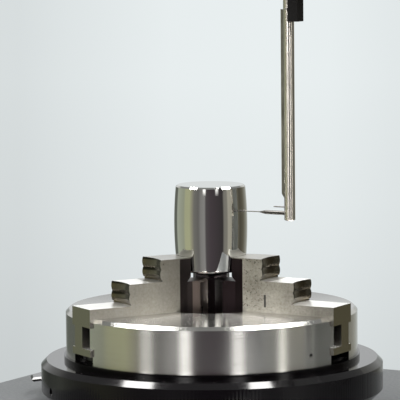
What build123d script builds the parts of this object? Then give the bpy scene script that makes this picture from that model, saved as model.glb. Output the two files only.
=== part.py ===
from build123d import *
import os
from math import cos, pi, radians, sin, sqrt

# Bench-top roundness measuring instrument with a three-jaw chuck on its rotary table.
# The origin is the middle of the base's footprint on the bench.
# +X points from the table to the column, +Y to the rear and +Z up. Sizes are in millimetres.

os.makedirs("parts", exist_ok=True)

# Clearances
running_clearance = 0.05
sliding_clearance = 0.15
body_clearance = 0.3

# Base
base_length = 400
base_depth = 252
base_corner_radius = 24
base_edge_radius = 4
base_wall = 8
deck_z = 100
deck_thickness = 12
rib_depth = 20
rib_thickness = 6
rib_y = 66
foot_height = 9
foot_radius = 14
foot_inset = 34
plate_thickness = 3
plate_margin = 2
boss_inset = 14
boss_radius = 7
plate_screw_radius = 2
plate_screw_depth = 10
vent_length = 50
vent_width = 5
vent_spacing = 40
vent_from_spindle = 75
spindle_from_left = 120.5

housing_bottom = foot_height + plate_thickness
deck_underside = deck_z - deck_thickness
spindle_x = spindle_from_left - base_length / 2
front_y = -base_depth / 2
rear_y = base_depth / 2

# Rotary table
table_radius = 74.5
table_top_z = 122
table_thickness = 19.5
table_edge = 2.4
table_wall_height = 13.5
table_bolt_circle = 23
table_bolt_radius = 2.5
table_bolt_depth = 10
table_screw_drop = 10.5
table_screw_angle = 52
table_screw_radius = 1.7
table_screw_length = 6
table_screw_sink = 0.5

table_bottom_z = table_top_z - table_thickness

# Air bearing spindle
journal_radius = 30
sleeve_radius = 42.3
sleeve_flange_radius = 57
sleeve_flange_thickness = 8
sleeve_top_z = 93
sleeve_length = 45
thrust_radius = 39
thrust_plate_thickness = 10
spindle_bore_radius = 8
sleeve_screw_circle = 50
sleeve_screw_radius = 2.5
sleeve_screw_count = 6
sleeve_screw_depth = 8
air_port_radius = 3
air_port_height = 14
air_port_length = 12

sleeve_bottom_z = sleeve_top_z - sleeve_length
deck_bore_radius = sleeve_radius + body_clearance

# Belt drive and encoder
spindle_pulley_radius = 36
motor_pulley_radius = 9
pulley_width = 12
pulley_flange = 2
belt_width = 7
belt_thickness = 1.2
motor_distance = 105
motor_radius = 25
motor_height = 34
motor_shaft_radius = 2.5
motor_shaft_depth = 20
bracket_size = 66
bracket_thickness = 4
post_radius = 4
post_spacing = 52
encoder_radius = 31
encoder_thickness = 1.5
encoder_z = 17.5
reader_length = 22
reader_width = 18
reader_height = 14
reader_slot_length = 12

pulley_top_z = sleeve_bottom_z - running_clearance - thrust_plate_thickness
pulley_bottom_z = pulley_top_z - pulley_width
motor_x = spindle_x + motor_distance

# Three-jaw scroll chuck, sizes below the chuck's face are depths
chuck_radius = 63.5
chuck_height = 20
chuck_edge = 1.5
chuck_bore_radius = 22.8
flange_radius = 64.4
flange_thickness = 2
scroll_disc_radius = 60
scroll_root_depth = 19.4
scroll_top_depth = 16.5
scroll_pitch = 6
scroll_ridge = 2.3
scroll_start_radius = 28
scroll_end_radius = 57.5
recess_depth = 16.2
lip_inner_radius = 19.5
lip_outer_radius = 26.3
lip_top_depth = 18.35
groove_depth = 21
retainer_top_depth = 16.3
retainer_radius = 22.4
retainer_hole_radius = 6
retainer_screw_circle = 13
retainer_screw_radius = 1.25
lock_screw_angle = -19
lock_screw_depth = 14.6
lock_screw_radius = 0.9
lock_screw_length = 3
lock_screw_sink = 0.6

chuck_face_z = table_top_z + flange_thickness + chuck_height

# Jaws, in the jaw's own frame: x outwards along the radius, y across, z from the chuck's face
jaw_angles = (0, 120, 240)
jaw_pocket_sides = (-1, 1, 1)
jaw_width = 16
jaw_end_radius = 64.1
jaw_bottom_depth = 16.1
jaw_step_heights = (4.3, 13.6, 23)
jaw_step_radii = (45.1, 29.8)
step_arc_radius = 24
step_ridge_height = 0.5
step_undercut = 0.9
grip_radius = 15.65
grip_relief_height = 2
ledge_height = 12.7
nose_flank_start = 20.2
nose_flank_end = 13
nose_flank_half_width = 6.6
ledge_start = 16
ledge_half_width = 7.2
ledge_corner = 9.5
ledge_corner_half_width = 6.8
ledge_tip = 2.6
ledge_tip_half_width = 1.4
ledge_chamfer = 0.8
rail_top_depth = 3.7
rail_bottom_depth = 13
rail_width = 2
pocket_inner = 0.8
pocket_outer = 6
pocket_length = 8
tooth_thickness = 2.2
tooth_depth = 3
tooth_first_radius = 28
tooth_last_radius = 60
tooth_half_width = 7

# Crowned roller held in the chuck
roller_bottom = 16.1
roller_height = 37.2
roller_bottom_radius = 14.8
roller_crown_radius = 15.9
roller_top_radius = 15.1
roller_crown_height = 20.5
roller_edge = 0.7

# Column, rail and rack
column_from_right = 78
column_width = 60
column_depth = 70
column_front_y = 40
column_top_z = 492
column_corner_radius = 6
column_wall = 7
column_foot_length = 96
column_foot_depth = 90
column_foot_height = 12
column_bolt_radius = 4
column_bolt_inset = 9
column_bolt_depth = 8
cap_thickness = 5
rail_bar_width = 22
rail_bar_depth = 12
rail_bar_waist = 3
gear_module = 1.5
pinion_teeth = 12
pinion_width = 8
rack_width = 8
rack_depth = 10
rack_offset = 23
rack_end_gap = 6

column_x = base_length / 2 - column_from_right
column_middle_y = column_front_y + column_depth / 2
column_bolt_x_spacing = column_foot_length - 2 * column_bolt_inset
column_bolt_y_spacing = column_foot_depth - 2 * column_bolt_inset
gear_pitch = pi * gear_module
pinion_radius = gear_module * pinion_teeth / 2
gear_addendum = 0.8 * gear_module
gear_dedendum = 1.1 * gear_module
rack_tip_y = column_front_y - rack_depth
pinion_y = rack_tip_y + gear_addendum - pinion_radius
rail_bottom_z = deck_z + column_foot_height + rack_end_gap
rail_top_z = column_top_z - rack_end_gap

# Carriage and arm
arm_radius = 8
arm_overhang = 64
carriage_width = 62
carriage_height = 90
carriage_front_y = -16
carriage_back_gap = 0.6
carriage_edge = 4
pocket_radius = 11.5
lift_shaft_radius = 4
lift_shaft_drop = 28
lift_knob_radius = 23
lift_knob_width = 20
knob_radius = 9
knob_height = 14
knob_flute_radius = 3
knob_flutes = 6
clamp_shaft_radius = 3
carriage_clamp_drop = 22

carriage_back_y = column_front_y - carriage_back_gap
arm_right_end = column_x + arm_overhang

# Detector
tube_offset = 39.1
tube_radius = 2.35
tube_wall = 0.5
tube_bottom = 39.5
tube_insertion = 9
stylus_height = 42.5
stylus_ball_radius = 0.5
stylus_gap = 0.15
stylus_shaft_radius = 0.22
stylus_sleeve_radius = 0.85
stylus_sleeve_reach = 27.3
stylus_nose_length = 3
lever_rod_radius = 0.8
stylus_pivot_drop = 11
stylus_pivot_radius = 0.5
stylus_eye_radius = 1.3
guard_pin_radius = 0.25
guard_pin_length = 5.4
guard_pin_rise = 2.6
blade_bottom = 48.9
blade_top_drop = 11.3
blade_reach = 1.3
blade_thickness = 0.9
holder_length = 16.4
holder_width = 5.4
holder_reach = 5.3
switch_lever_gap = 4.5
switch_lever_reach = 8
switch_lever_drop = 2.6
switch_lever_radius = 0.35
housing_bottom_height = 141
housing_height = 29
swivel_height = 40
housing_width = 18
housing_depth = 16
head_length = 26
head_height = 24
head_width = 16
swivel_plate_thickness = 7
swivel_block_top = 24
swivel_plate_radius = 11

tube_x = spindle_x + tube_offset
tube_top = housing_bottom_height + tube_insertion
blade_top = housing_bottom_height - blade_top_drop
holder_bottom = housing_bottom_height - holder_length
switch_lever_height = housing_bottom_height - switch_lever_gap
stylus_pivot_height = housing_bottom_height - stylus_pivot_drop
housing_top_height = housing_bottom_height + housing_height
arm_z = chuck_face_z + housing_top_height + swivel_height
pinion_z = arm_z - lift_shaft_drop

# Controls and sockets
lever_pivot_x = -88
lever_pivot_y = 25
lever_tip_x = -85
lever_tip_y = -14
lever_height = 7
lever_thickness = 1.9
lever_edge = 0.8
lever_half_width = 4
lever_boss_radius = 6
panel_from_right = 80
panel_z = 56
panel_length = 84
panel_height = 34
panel_recess = 3
button_spacing = 40
button_radius = 8
button_flange_radius = 10.5
button_flange_thickness = 2.5
button_proud = 2.5
inlet_from_right = 56
inlet_z = 52
inlet_length = 60
inlet_height = 30
inlet_flange = 2.4
inlet_socket_x = 13
inlet_socket_length = 24
inlet_socket_height = 17
inlet_depth = 16
rocker_x = -16
rocker_half_length = 9.2
rocker_width = 12
rocker_tilt = 8
signal_from_inlet = 56
signal_radius = 9
board_length = 110
board_width = 80
board_thickness = 1.6
board_from_right = 82
board_y = -52
board_z = 24
spacer_radius = 3
spacer_inset = 6
board_margin = 10
transformer_length = 34
transformer_width = 30
regulator_size = 24
board_block_height = 13
capacitor_radius = 5
capacitor_spacing = 15

panel_x = base_length / 2 - panel_from_right
inlet_x = base_length / 2 - inlet_from_right
signal_x = inlet_x - signal_from_inlet
board_x = base_length / 2 - board_from_right


def spindle_plane(height):
    """Level plane on the spindle axis."""
    return Plane(origin=(spindle_x, 0, height))


def jaw_plane(angle, height=0.0):
    """Level plane above the chuck's face whose x axis runs out along a jaw."""
    direction = (cos(radians(angle)), sin(radians(angle)), 0)
    return Plane(origin=(spindle_x, 0, chuck_face_z + height), x_dir=direction, z_dir=(0, 0, 1))


def radial_plane(angle):
    """Upright plane through the spindle axis: x outwards along the angle, y up from the face."""
    outwards = (cos(radians(angle)), sin(radians(angle)), 0)
    sideways = (sin(radians(angle)), -cos(radians(angle)), 0)
    return Plane(origin=(spindle_x, 0, chuck_face_z), x_dir=outwards, z_dir=sideways)


def facing_plane(angle, radius=0.0):
    """Upright plane that faces outwards at a radius: x across, y up from the chuck's face."""
    level = jaw_plane(angle)
    return Plane(origin=level.from_local_coords((radius, 0, 0)), x_dir=level.y_dir, z_dir=level.x_dir)


# Base housing: a cast box, open below, with the deck on top
with BuildPart() as base_housing:
    with BuildSketch(Plane.XY.offset(housing_bottom)):
        RectangleRounded(base_length, base_depth, base_corner_radius)
    extrude(amount=deck_z - housing_bottom)
    fillet(base_housing.faces().sort_by(Axis.Z)[-1].edges(), base_edge_radius)
    with BuildSketch(Plane.XY.offset(housing_bottom)):
        RectangleRounded(
            base_length - 2 * base_wall, base_depth - 2 * base_wall, base_corner_radius - base_wall
        )
    extrude(amount=deck_underside - housing_bottom, mode=Mode.SUBTRACT)
    # Ribs under the deck
    with BuildSketch(Plane.XY.offset(deck_underside)):
        with Locations((0, -rib_y), (0, rib_y)):
            Rectangle(base_length - 2 * base_wall, rib_thickness)
    extrude(amount=-rib_depth)
    # Bosses for the base plate's screws
    with BuildSketch(Plane.XY.offset(housing_bottom)):
        with GridLocations(base_length / 2 - boss_inset, base_depth - 2 * boss_inset, 3, 2):
            Circle(boss_radius)
    extrude(amount=deck_underside - housing_bottom)
    with BuildSketch(Plane.XY.offset(housing_bottom)):
        with GridLocations(base_length / 2 - boss_inset, base_depth - 2 * boss_inset, 3, 2):
            Circle(plate_screw_radius)
    extrude(amount=plate_screw_depth, mode=Mode.SUBTRACT)
    # Bore for the spindle's sleeve
    with BuildSketch(Plane.XY.offset(deck_z)):
        with Locations((spindle_x, 0)):
            Circle(deck_bore_radius)
    extrude(amount=-deck_thickness, mode=Mode.SUBTRACT)
    with BuildSketch(spindle_plane(deck_underside)):
        with PolarLocations(sleeve_screw_circle, sleeve_screw_count):
            Circle(sleeve_screw_radius)
    extrude(amount=sleeve_screw_depth, mode=Mode.SUBTRACT)
    # Recessed control panel in front, with two button holes
    with BuildSketch(Plane.XZ.offset(-front_y)):
        with Locations((panel_x, panel_z)):
            RectangleRounded(panel_length, panel_height, 4)
    extrude(amount=-panel_recess, mode=Mode.SUBTRACT)
    with BuildSketch(Plane.XZ.offset(-front_y)):
        with Locations((panel_x, panel_z)):
            with GridLocations(button_spacing, 0, 2, 1):
                Circle(button_radius)
    extrude(amount=-base_wall, mode=Mode.SUBTRACT)
    # Recess and window for the mains inlet, and the signal socket's hole, at the rear
    with BuildSketch(Plane.XZ.offset(-rear_y)):
        with Locations((inlet_x, inlet_z)):
            RectangleRounded(inlet_length + 2 * body_clearance, inlet_height + 2 * body_clearance, 3)
    extrude(amount=panel_recess, mode=Mode.SUBTRACT)
    with BuildSketch(Plane.XZ.offset(-rear_y)):
        with Locations((inlet_x, inlet_z)):
            Rectangle(inlet_length - 6, inlet_height - 6)
        with Locations((signal_x, inlet_z)):
            Circle(signal_radius)
    extrude(amount=base_wall, mode=Mode.SUBTRACT)
    # Tapped holes for the column's bolts
    with BuildSketch(Plane.XY.offset(deck_z)):
        with Locations((column_x, column_middle_y)):
            with GridLocations(column_bolt_x_spacing, column_bolt_y_spacing, 2, 2):
                Circle(column_bolt_radius)
    extrude(amount=-column_bolt_depth - 2, mode=Mode.SUBTRACT)
base_housing.part.label = "base_housing"
export_step(base_housing.part, "parts/base_housing.step")

with BuildPart() as base_plate:
    with BuildSketch(Plane.XY.offset(foot_height)):
        RectangleRounded(
            base_length - 2 * plate_margin, base_depth - 2 * plate_margin, base_corner_radius - plate_margin
        )
        with GridLocations(base_length / 2 - boss_inset, base_depth - 2 * boss_inset, 3, 2):
            Circle(plate_screw_radius, mode=Mode.SUBTRACT)
        with Locations((spindle_x + vent_from_spindle, 0)):
            with GridLocations(0, vent_spacing, 1, 3):
                SlotOverall(vent_length, vent_width, mode=Mode.SUBTRACT)
    extrude(amount=plate_thickness)
base_plate.part.label = "base_plate"
export_step(base_plate.part, "parts/base_plate.step")

# Pan-head screws that hold the base plate
with BuildPart() as plate_screws:
    with BuildSketch(Plane.XY.offset(foot_height)):
        with GridLocations(base_length / 2 - boss_inset, base_depth - 2 * boss_inset, 3, 2):
            Circle(plate_screw_radius)
    extrude(amount=plate_screw_depth)
    with BuildSketch(Plane.XY.offset(foot_height)):
        with GridLocations(base_length / 2 - boss_inset, base_depth - 2 * boss_inset, 3, 2):
            Circle(2 * plate_screw_radius)
    extrude(amount=-1.2 * plate_screw_radius)
plate_screws.part.label = "plate_screws"
export_step(plate_screws.part, "parts/plate_screws.step")

# Rubber feet
foot_x = base_length / 2 - foot_inset
foot_y = base_depth / 2 - foot_inset
foot_places = {
    "front_left_foot": (-foot_x, -foot_y),
    "front_right_foot": (foot_x, -foot_y),
    "rear_left_foot": (-foot_x, foot_y),
    "rear_right_foot": (foot_x, foot_y),
}
for foot_name, foot_place in foot_places.items():
    with BuildPart() as foot:
        with BuildSketch(Plane(origin=(*foot_place, foot_height))):
            Circle(foot_radius)
        extrude(amount=-foot_height, taper=8)
        fillet(foot.faces().sort_by(Axis.Z)[0].edges(), 1.5)
    foot.part.label = foot_name
    export_step(foot.part, f"parts/{foot_name}.step")

# Bearing sleeve, bolted under the deck: the fixed half of the air bearing
with BuildPart() as bearing_sleeve:
    with BuildSketch(spindle_plane(sleeve_bottom_z)):
        Circle(sleeve_radius)
        Circle(journal_radius + running_clearance, mode=Mode.SUBTRACT)
    extrude(amount=sleeve_length)
    with BuildSketch(spindle_plane(deck_underside)):
        Circle(sleeve_flange_radius)
        Circle(sleeve_radius, mode=Mode.SUBTRACT)
        with PolarLocations(sleeve_screw_circle, sleeve_screw_count):
            Circle(sleeve_screw_radius, mode=Mode.SUBTRACT)
    extrude(amount=-sleeve_flange_thickness)
    # Air port with its hose nipple
    with BuildSketch(Plane.YZ.offset(spindle_x + sleeve_radius - 2)):
        with Locations((0, sleeve_bottom_z + air_port_height)):
            Circle(air_port_radius)
    extrude(amount=air_port_length + 2)
bearing_sleeve.part.label = "bearing_sleeve"
export_step(bearing_sleeve.part, "parts/bearing_sleeve.step")

with BuildPart() as sleeve_screws:
    with BuildSketch(spindle_plane(deck_underside - sleeve_flange_thickness)):
        with PolarLocations(sleeve_screw_circle, sleeve_screw_count):
            Circle(sleeve_screw_radius)
    extrude(amount=sleeve_flange_thickness + sleeve_screw_depth)
    with BuildSketch(spindle_plane(deck_underside - sleeve_flange_thickness)):
        with PolarLocations(sleeve_screw_circle, sleeve_screw_count):
            Circle(1.7 * sleeve_screw_radius)
    extrude(amount=-2 * sleeve_screw_radius)
sleeve_screws.part.label = "sleeve_screws"
export_step(sleeve_screws.part, "parts/sleeve_screws.step")

# Spindle: journal with its upper thrust flange, which carries the table
with BuildPart() as spindle:
    with BuildSketch(spindle_plane(sleeve_bottom_z - running_clearance)):
        Circle(journal_radius)
    extrude(amount=sleeve_length + 2 * running_clearance)
    with BuildSketch(spindle_plane(sleeve_top_z + running_clearance)):
        Circle(thrust_radius)
    extrude(amount=table_bottom_z - sleeve_top_z - running_clearance)
    with BuildSketch(spindle_plane(table_bottom_z)):
        Circle(spindle_bore_radius)
    extrude(amount=-(table_bottom_z - sleeve_bottom_z + 1), mode=Mode.SUBTRACT)
    with BuildSketch(spindle_plane(table_bottom_z)):
        with PolarLocations(table_bolt_circle, 4, start_angle=45):
            Circle(table_bolt_radius)
    extrude(amount=-table_bolt_depth - 2, mode=Mode.SUBTRACT)
spindle.part.label = "spindle"
export_step(spindle.part, "parts/spindle.step")

with BuildPart() as thrust_plate:
    with BuildSketch(spindle_plane(pulley_top_z)):
        Circle(thrust_radius)
        Circle(spindle_bore_radius, mode=Mode.SUBTRACT)
    extrude(amount=thrust_plate_thickness)
    chamfer(thrust_plate.faces().sort_by(Axis.Z)[0].edges(), 1)
thrust_plate.part.label = "thrust_plate"
export_step(thrust_plate.part, "parts/thrust_plate.step")

with BuildPart() as spindle_pulley:
    with BuildSketch(spindle_plane(pulley_bottom_z)):
        Circle(spindle_pulley_radius)
    extrude(amount=pulley_width)
    with BuildSketch(spindle_plane(pulley_bottom_z), spindle_plane(pulley_top_z - pulley_flange)):
        Circle(spindle_pulley_radius + 2)
    extrude(amount=pulley_flange)
    with BuildSketch(spindle_plane(encoder_z + encoder_thickness)):
        Circle(2 * spindle_bore_radius)
    extrude(amount=pulley_bottom_z - encoder_z - encoder_thickness)
    with BuildSketch(spindle_plane(encoder_z)):
        Circle(spindle_bore_radius)
    extrude(amount=pulley_top_z - encoder_z, mode=Mode.SUBTRACT)
spindle_pulley.part.label = "spindle_pulley"
export_step(spindle_pulley.part, "parts/spindle_pulley.step")

with BuildPart() as encoder_disc:
    with BuildSketch(spindle_plane(encoder_z)):
        Circle(encoder_radius)
        Circle(spindle_bore_radius, mode=Mode.SUBTRACT)
    extrude(amount=encoder_thickness)
encoder_disc.part.label = "encoder_disc"
export_step(encoder_disc.part, "parts/encoder_disc.step")

# Encoder reader: a forked block on the base plate, with the disc's rim in its slot
reader_x = spindle_x - encoder_radius - reader_length / 2 + 8
with BuildPart() as encoder_reader:
    with BuildSketch(Plane.XZ.offset(-reader_width / 2)):
        with Locations((reader_x, housing_bottom + reader_height / 2 - 1)):
            Rectangle(reader_length, reader_height - 2)
        with Locations((spindle_x - encoder_radius + 4, encoder_z + encoder_thickness / 2)):
            Rectangle(reader_slot_length, encoder_thickness + 2, mode=Mode.SUBTRACT)
    extrude(amount=reader_width)
encoder_reader.part.label = "encoder_reader"
export_step(encoder_reader.part, "parts/encoder_reader.step")

# Flat belt round both pulleys
belt_gap = 0.2
belt_z = pulley_bottom_z + (pulley_width - belt_width) / 2
with BuildPart() as drive_belt:
    with BuildSketch(Plane.XY.offset(belt_z)):
        with Locations((spindle_x, 0)):
            Circle(spindle_pulley_radius + belt_gap + belt_thickness)
        with Locations((motor_x, 0)):
            Circle(motor_pulley_radius + belt_gap + belt_thickness)
        make_hull()
    extrude(amount=belt_width)
    with BuildSketch(Plane.XY.offset(belt_z)):
        with Locations((spindle_x, 0)):
            Circle(spindle_pulley_radius + belt_gap)
        with Locations((motor_x, 0)):
            Circle(motor_pulley_radius + belt_gap)
        make_hull()
    extrude(amount=belt_width, mode=Mode.SUBTRACT)
drive_belt.part.label = "drive_belt"
export_step(drive_belt.part, "parts/drive_belt.step")

# Motor on a plate that hangs from the deck on four posts
bracket_z = pulley_top_z + 2
with BuildPart() as motor_bracket:
    with BuildSketch(Plane(origin=(motor_x, 0, bracket_z))):
        RectangleRounded(bracket_size, bracket_size, 6)
        Circle(motor_shaft_radius + 4, mode=Mode.SUBTRACT)
    extrude(amount=bracket_thickness)
motor_bracket.part.label = "motor_bracket"
export_step(motor_bracket.part, "parts/motor_bracket.step")

with BuildPart() as motor_posts:
    with BuildSketch(Plane(origin=(motor_x, 0, bracket_z + bracket_thickness))):
        with GridLocations(post_spacing, post_spacing, 2, 2):
            Circle(post_radius)
    extrude(amount=deck_underside - bracket_z - bracket_thickness)
motor_posts.part.label = "motor_posts"
export_step(motor_posts.part, "parts/motor_posts.step")

with BuildPart() as motor:
    with BuildSketch(Plane(origin=(motor_x, 0, bracket_z + bracket_thickness))):
        Circle(motor_radius)
        Circle(motor_shaft_radius + running_clearance, mode=Mode.SUBTRACT)
    extrude(amount=motor_height)
    fillet(motor.faces().sort_by(Axis.Z)[-1].edges().sort_by(SortBy.LENGTH)[-1], 2)
motor.part.label = "motor"
export_step(motor.part, "parts/motor.step")

with BuildPart() as motor_pulley:
    with BuildSketch(Plane(origin=(motor_x, 0, pulley_bottom_z))):
        Circle(motor_pulley_radius)
    extrude(amount=pulley_width)
    with BuildSketch(Plane(origin=(motor_x, 0, pulley_bottom_z))):
        Circle(motor_pulley_radius + 2)
    extrude(amount=pulley_flange)
    with BuildSketch(Plane(origin=(motor_x, 0, pulley_top_z))):
        Circle(motor_shaft_radius)
    extrude(amount=bracket_z + bracket_thickness + motor_shaft_depth - pulley_top_z)
motor_pulley.part.label = "motor_pulley"
export_step(motor_pulley.part, "parts/motor_pulley.step")

# Turntable: chamfered above and below its knurled wall, with four bolts down into the spindle
table_foot_radius = table_radius - (table_thickness - table_wall_height)
table_screw_angles = [table_screw_angle + 90 * k for k in range(4)]
table_screw_level = table_top_z - table_screw_drop - chuck_face_z
with BuildPart() as turntable:
    with BuildSketch(Plane(origin=(spindle_x, 0, 0), x_dir=(1, 0, 0), z_dir=(0, -1, 0))):
        with BuildLine():
            Polyline(
                (0, table_bottom_z),
                (table_foot_radius, table_bottom_z),
                (table_radius, table_top_z - table_wall_height),
                (table_radius, table_top_z - table_edge),
                (table_radius - table_edge, table_top_z),
                (0, table_top_z),
                close=True,
            )
        make_face()
    revolve(axis=Axis((spindle_x, 0, 0), (0, 0, 1)))
    with BuildSketch(spindle_plane(table_top_z)):
        Circle(spindle_bore_radius)
        with PolarLocations(table_bolt_circle, 4, start_angle=45):
            Circle(table_bolt_radius)
    extrude(amount=-table_thickness, mode=Mode.SUBTRACT)
    with BuildSketch(spindle_plane(table_top_z)):
        with PolarLocations(table_bolt_circle, 4, start_angle=45):
            Circle(1.8 * table_bolt_radius)
    extrude(amount=-2.5 * table_bolt_radius, mode=Mode.SUBTRACT)
    for angle in table_screw_angles:
        with BuildSketch(facing_plane(angle, table_radius)):
            with Locations((0, table_screw_level)):
                Circle(table_screw_radius)
        extrude(amount=-table_screw_length - 2, mode=Mode.SUBTRACT)
turntable.part.label = "turntable"
export_step(turntable.part, "parts/turntable.step")

with BuildPart() as table_bolts:
    with BuildSketch(spindle_plane(table_bottom_z)):
        with PolarLocations(table_bolt_circle, 4, start_angle=45):
            Circle(table_bolt_radius)
    extrude(amount=-table_bolt_depth)
    with BuildSketch(spindle_plane(table_bottom_z)):
        with PolarLocations(table_bolt_circle, 4, start_angle=45):
            Circle(table_bolt_radius)
    extrude(amount=table_thickness - 2.5 * table_bolt_radius)
    with BuildSketch(spindle_plane(table_top_z - 2.5 * table_bolt_radius)):
        with PolarLocations(table_bolt_circle, 4, start_angle=45):
            Circle(1.7 * table_bolt_radius)
    extrude(amount=2 * table_bolt_radius)
    with BuildSketch(spindle_plane(table_top_z - 0.5 * table_bolt_radius)):
        with PolarLocations(table_bolt_circle, 4, start_angle=45):
            RegularPolygon(0.9 * table_bolt_radius, 6)
    extrude(amount=-table_bolt_radius, mode=Mode.SUBTRACT)
table_bolts.part.label = "table_bolts"
export_step(table_bolts.part, "parts/table_bolts.step")

# Four radial set screws in the table's wall, for centring what stands on it
with BuildPart() as centring_screws:
    for angle in table_screw_angles:
        with BuildSketch(facing_plane(angle, table_radius - table_screw_sink)):
            with Locations((0, table_screw_level)):
                Circle(table_screw_radius)
        extrude(amount=-table_screw_length)
        with BuildSketch(facing_plane(angle, table_radius - table_screw_sink)):
            with Locations((0, table_screw_level)):
                RegularPolygon(0.55 * table_screw_radius, 6)
        extrude(amount=-table_screw_length / 4, mode=Mode.SUBTRACT)
centring_screws.part.label = "centring_screws"
export_step(centring_screws.part, "parts/centring_screws.step")

# Scroll flange, fixed on the table: the black rim, the spiral and the centre boss
retainer_thickness = 2
boss_top_depth = retainer_top_depth + retainer_thickness


def spiral_point(turn_angle, side):
    """Point on one flank of the scroll's ridge, on the spindle's level plane."""
    radius = scroll_start_radius + scroll_pitch * turn_angle / 360 + side * scroll_ridge / 2
    return (radius * cos(radians(turn_angle)), radius * sin(radians(turn_angle)))


scroll_angle = 360 * (scroll_end_radius - scroll_start_radius) / scroll_pitch
spiral_steps = round(scroll_angle / 30)
spiral_angles = [scroll_angle * k / spiral_steps for k in range(spiral_steps + 1)]
with BuildPart() as scroll_flange:
    with BuildSketch(radial_plane(0)):
        with BuildLine():
            Polyline(
                (retainer_hole_radius, -chuck_height - flange_thickness),
                (flange_radius, -chuck_height - flange_thickness),
                (flange_radius, -chuck_height),
                (scroll_disc_radius, -chuck_height),
                (scroll_disc_radius, -scroll_root_depth),
                (lip_outer_radius + body_clearance, -scroll_root_depth),
                (lip_outer_radius + body_clearance, -groove_depth),
                (lip_inner_radius - body_clearance, -groove_depth),
                (lip_inner_radius - body_clearance, -boss_top_depth),
                (retainer_hole_radius, -boss_top_depth),
                close=True,
            )
        make_face()
    revolve(axis=Axis((spindle_x, 0, 0), (0, 0, 1)))
    with BuildSketch(jaw_plane(0, -scroll_root_depth)):
        with BuildLine():
            Spline([spiral_point(angle, -1) for angle in spiral_angles])
            Spline([spiral_point(angle, 1) for angle in spiral_angles])
            Line(spiral_point(0, -1), spiral_point(0, 1))
            Line(spiral_point(scroll_angle, -1), spiral_point(scroll_angle, 1))
        make_face()
    extrude(amount=scroll_root_depth - scroll_top_depth)
    with BuildSketch(jaw_plane(60, -boss_top_depth)):
        with PolarLocations(retainer_screw_circle, 3):
            Circle(retainer_screw_radius)
    extrude(amount=-2.4, mode=Mode.SUBTRACT)
scroll_flange.part.label = "scroll_flange"
export_step(scroll_flange.part, "parts/scroll_flange.step")

# Plate that holds the chuck body's lip down on the flange
with BuildPart() as retaining_plate:
    with BuildSketch(jaw_plane(60, -boss_top_depth)):
        Circle(retainer_radius)
        Circle(retainer_hole_radius, mode=Mode.SUBTRACT)
    extrude(amount=retainer_thickness)
    with Locations(jaw_plane(60, -retainer_top_depth)):
        with PolarLocations(retainer_screw_circle, 3):
            CounterSinkHole(retainer_screw_radius, 2 * retainer_screw_radius)
retaining_plate.part.label = "retaining_plate"
export_step(retaining_plate.part, "parts/retaining_plate.step")

with BuildPart() as retaining_screws:
    with BuildSketch(jaw_plane(60, -boss_top_depth - 2.4)):
        with PolarLocations(retainer_screw_circle, 3):
            Circle(retainer_screw_radius)
    extrude(amount=2.4 + retainer_thickness)
    with Locations(jaw_plane(60, -retainer_top_depth)):
        with PolarLocations(retainer_screw_circle, 3):
            Cone(
                retainer_screw_radius,
                2 * retainer_screw_radius,
                retainer_screw_radius,
                align=(Align.CENTER, Align.CENTER, Align.MAX),
            )
retaining_screws.part.label = "retaining_screws"
export_step(retaining_screws.part, "parts/retaining_screws.step")

# Chuck body: turned disc with three slots, whose guide rails carry the jaws
slot_half_width = jaw_width / 2 + sliding_clearance
with BuildPart() as chuck_body:
    with BuildSketch(radial_plane(0)):
        with BuildLine():
            Polyline(
                (chuck_bore_radius, -chuck_edge / 3),
                (chuck_bore_radius + chuck_edge / 3, 0),
                (chuck_radius - chuck_edge, 0),
                (chuck_radius, -chuck_edge),
                (chuck_radius, -chuck_height + running_clearance),
                (scroll_disc_radius + running_clearance, -chuck_height + running_clearance),
                (scroll_disc_radius + running_clearance, -recess_depth),
                (lip_outer_radius, -recess_depth),
                (lip_outer_radius, -groove_depth + running_clearance),
                (lip_inner_radius, -groove_depth + running_clearance),
                (lip_inner_radius, -lip_top_depth),
                (chuck_bore_radius, -lip_top_depth),
                close=True,
            )
        make_face()
    revolve(axis=Axis((spindle_x, 0, 0), (0, 0, 1)))
    for angle in jaw_angles:
        # Slot with a rail left standing on each side
        with BuildSketch(facing_plane(angle)):
            with Locations((0, -recess_depth / 2)):
                Rectangle(2 * slot_half_width, recess_depth)
            rail_middle = -(rail_top_depth + rail_bottom_depth) / 2
            rail_height = rail_bottom_depth - rail_top_depth - 2 * sliding_clearance
            with Locations((slot_half_width, rail_middle), (-slot_half_width, rail_middle)):
                Rectangle(2 * rail_width, rail_height, mode=Mode.SUBTRACT)
        extrude(amount=chuck_radius + 5, mode=Mode.SUBTRACT)
        # The slot runs out through the wall's foot
        with BuildSketch(jaw_plane(angle, -chuck_height)):
            with Locations((chuck_radius, 0)):
                Rectangle(2 * (chuck_radius - scroll_disc_radius + 1), 2 * slot_half_width)
        extrude(amount=chuck_height - recess_depth, mode=Mode.SUBTRACT)
    # Blind hole for the small lock screw in the wall
    with BuildSketch(facing_plane(lock_screw_angle, chuck_radius)):
        with Locations((0, -lock_screw_depth)):
            Circle(lock_screw_radius)
    extrude(amount=-lock_screw_length - lock_screw_sink, mode=Mode.SUBTRACT)
chuck_body.part.label = "chuck_body"
export_step(chuck_body.part, "parts/chuck_body.step")

with BuildPart() as chuck_lock_screw:
    with BuildSketch(facing_plane(lock_screw_angle, chuck_radius - lock_screw_sink)):
        with Locations((0, -lock_screw_depth)):
            Circle(lock_screw_radius)
    extrude(amount=-lock_screw_length)
chuck_lock_screw.part.label = "chuck_lock_screw"
export_step(chuck_lock_screw.part, "parts/chuck_lock_screw.step")


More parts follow.
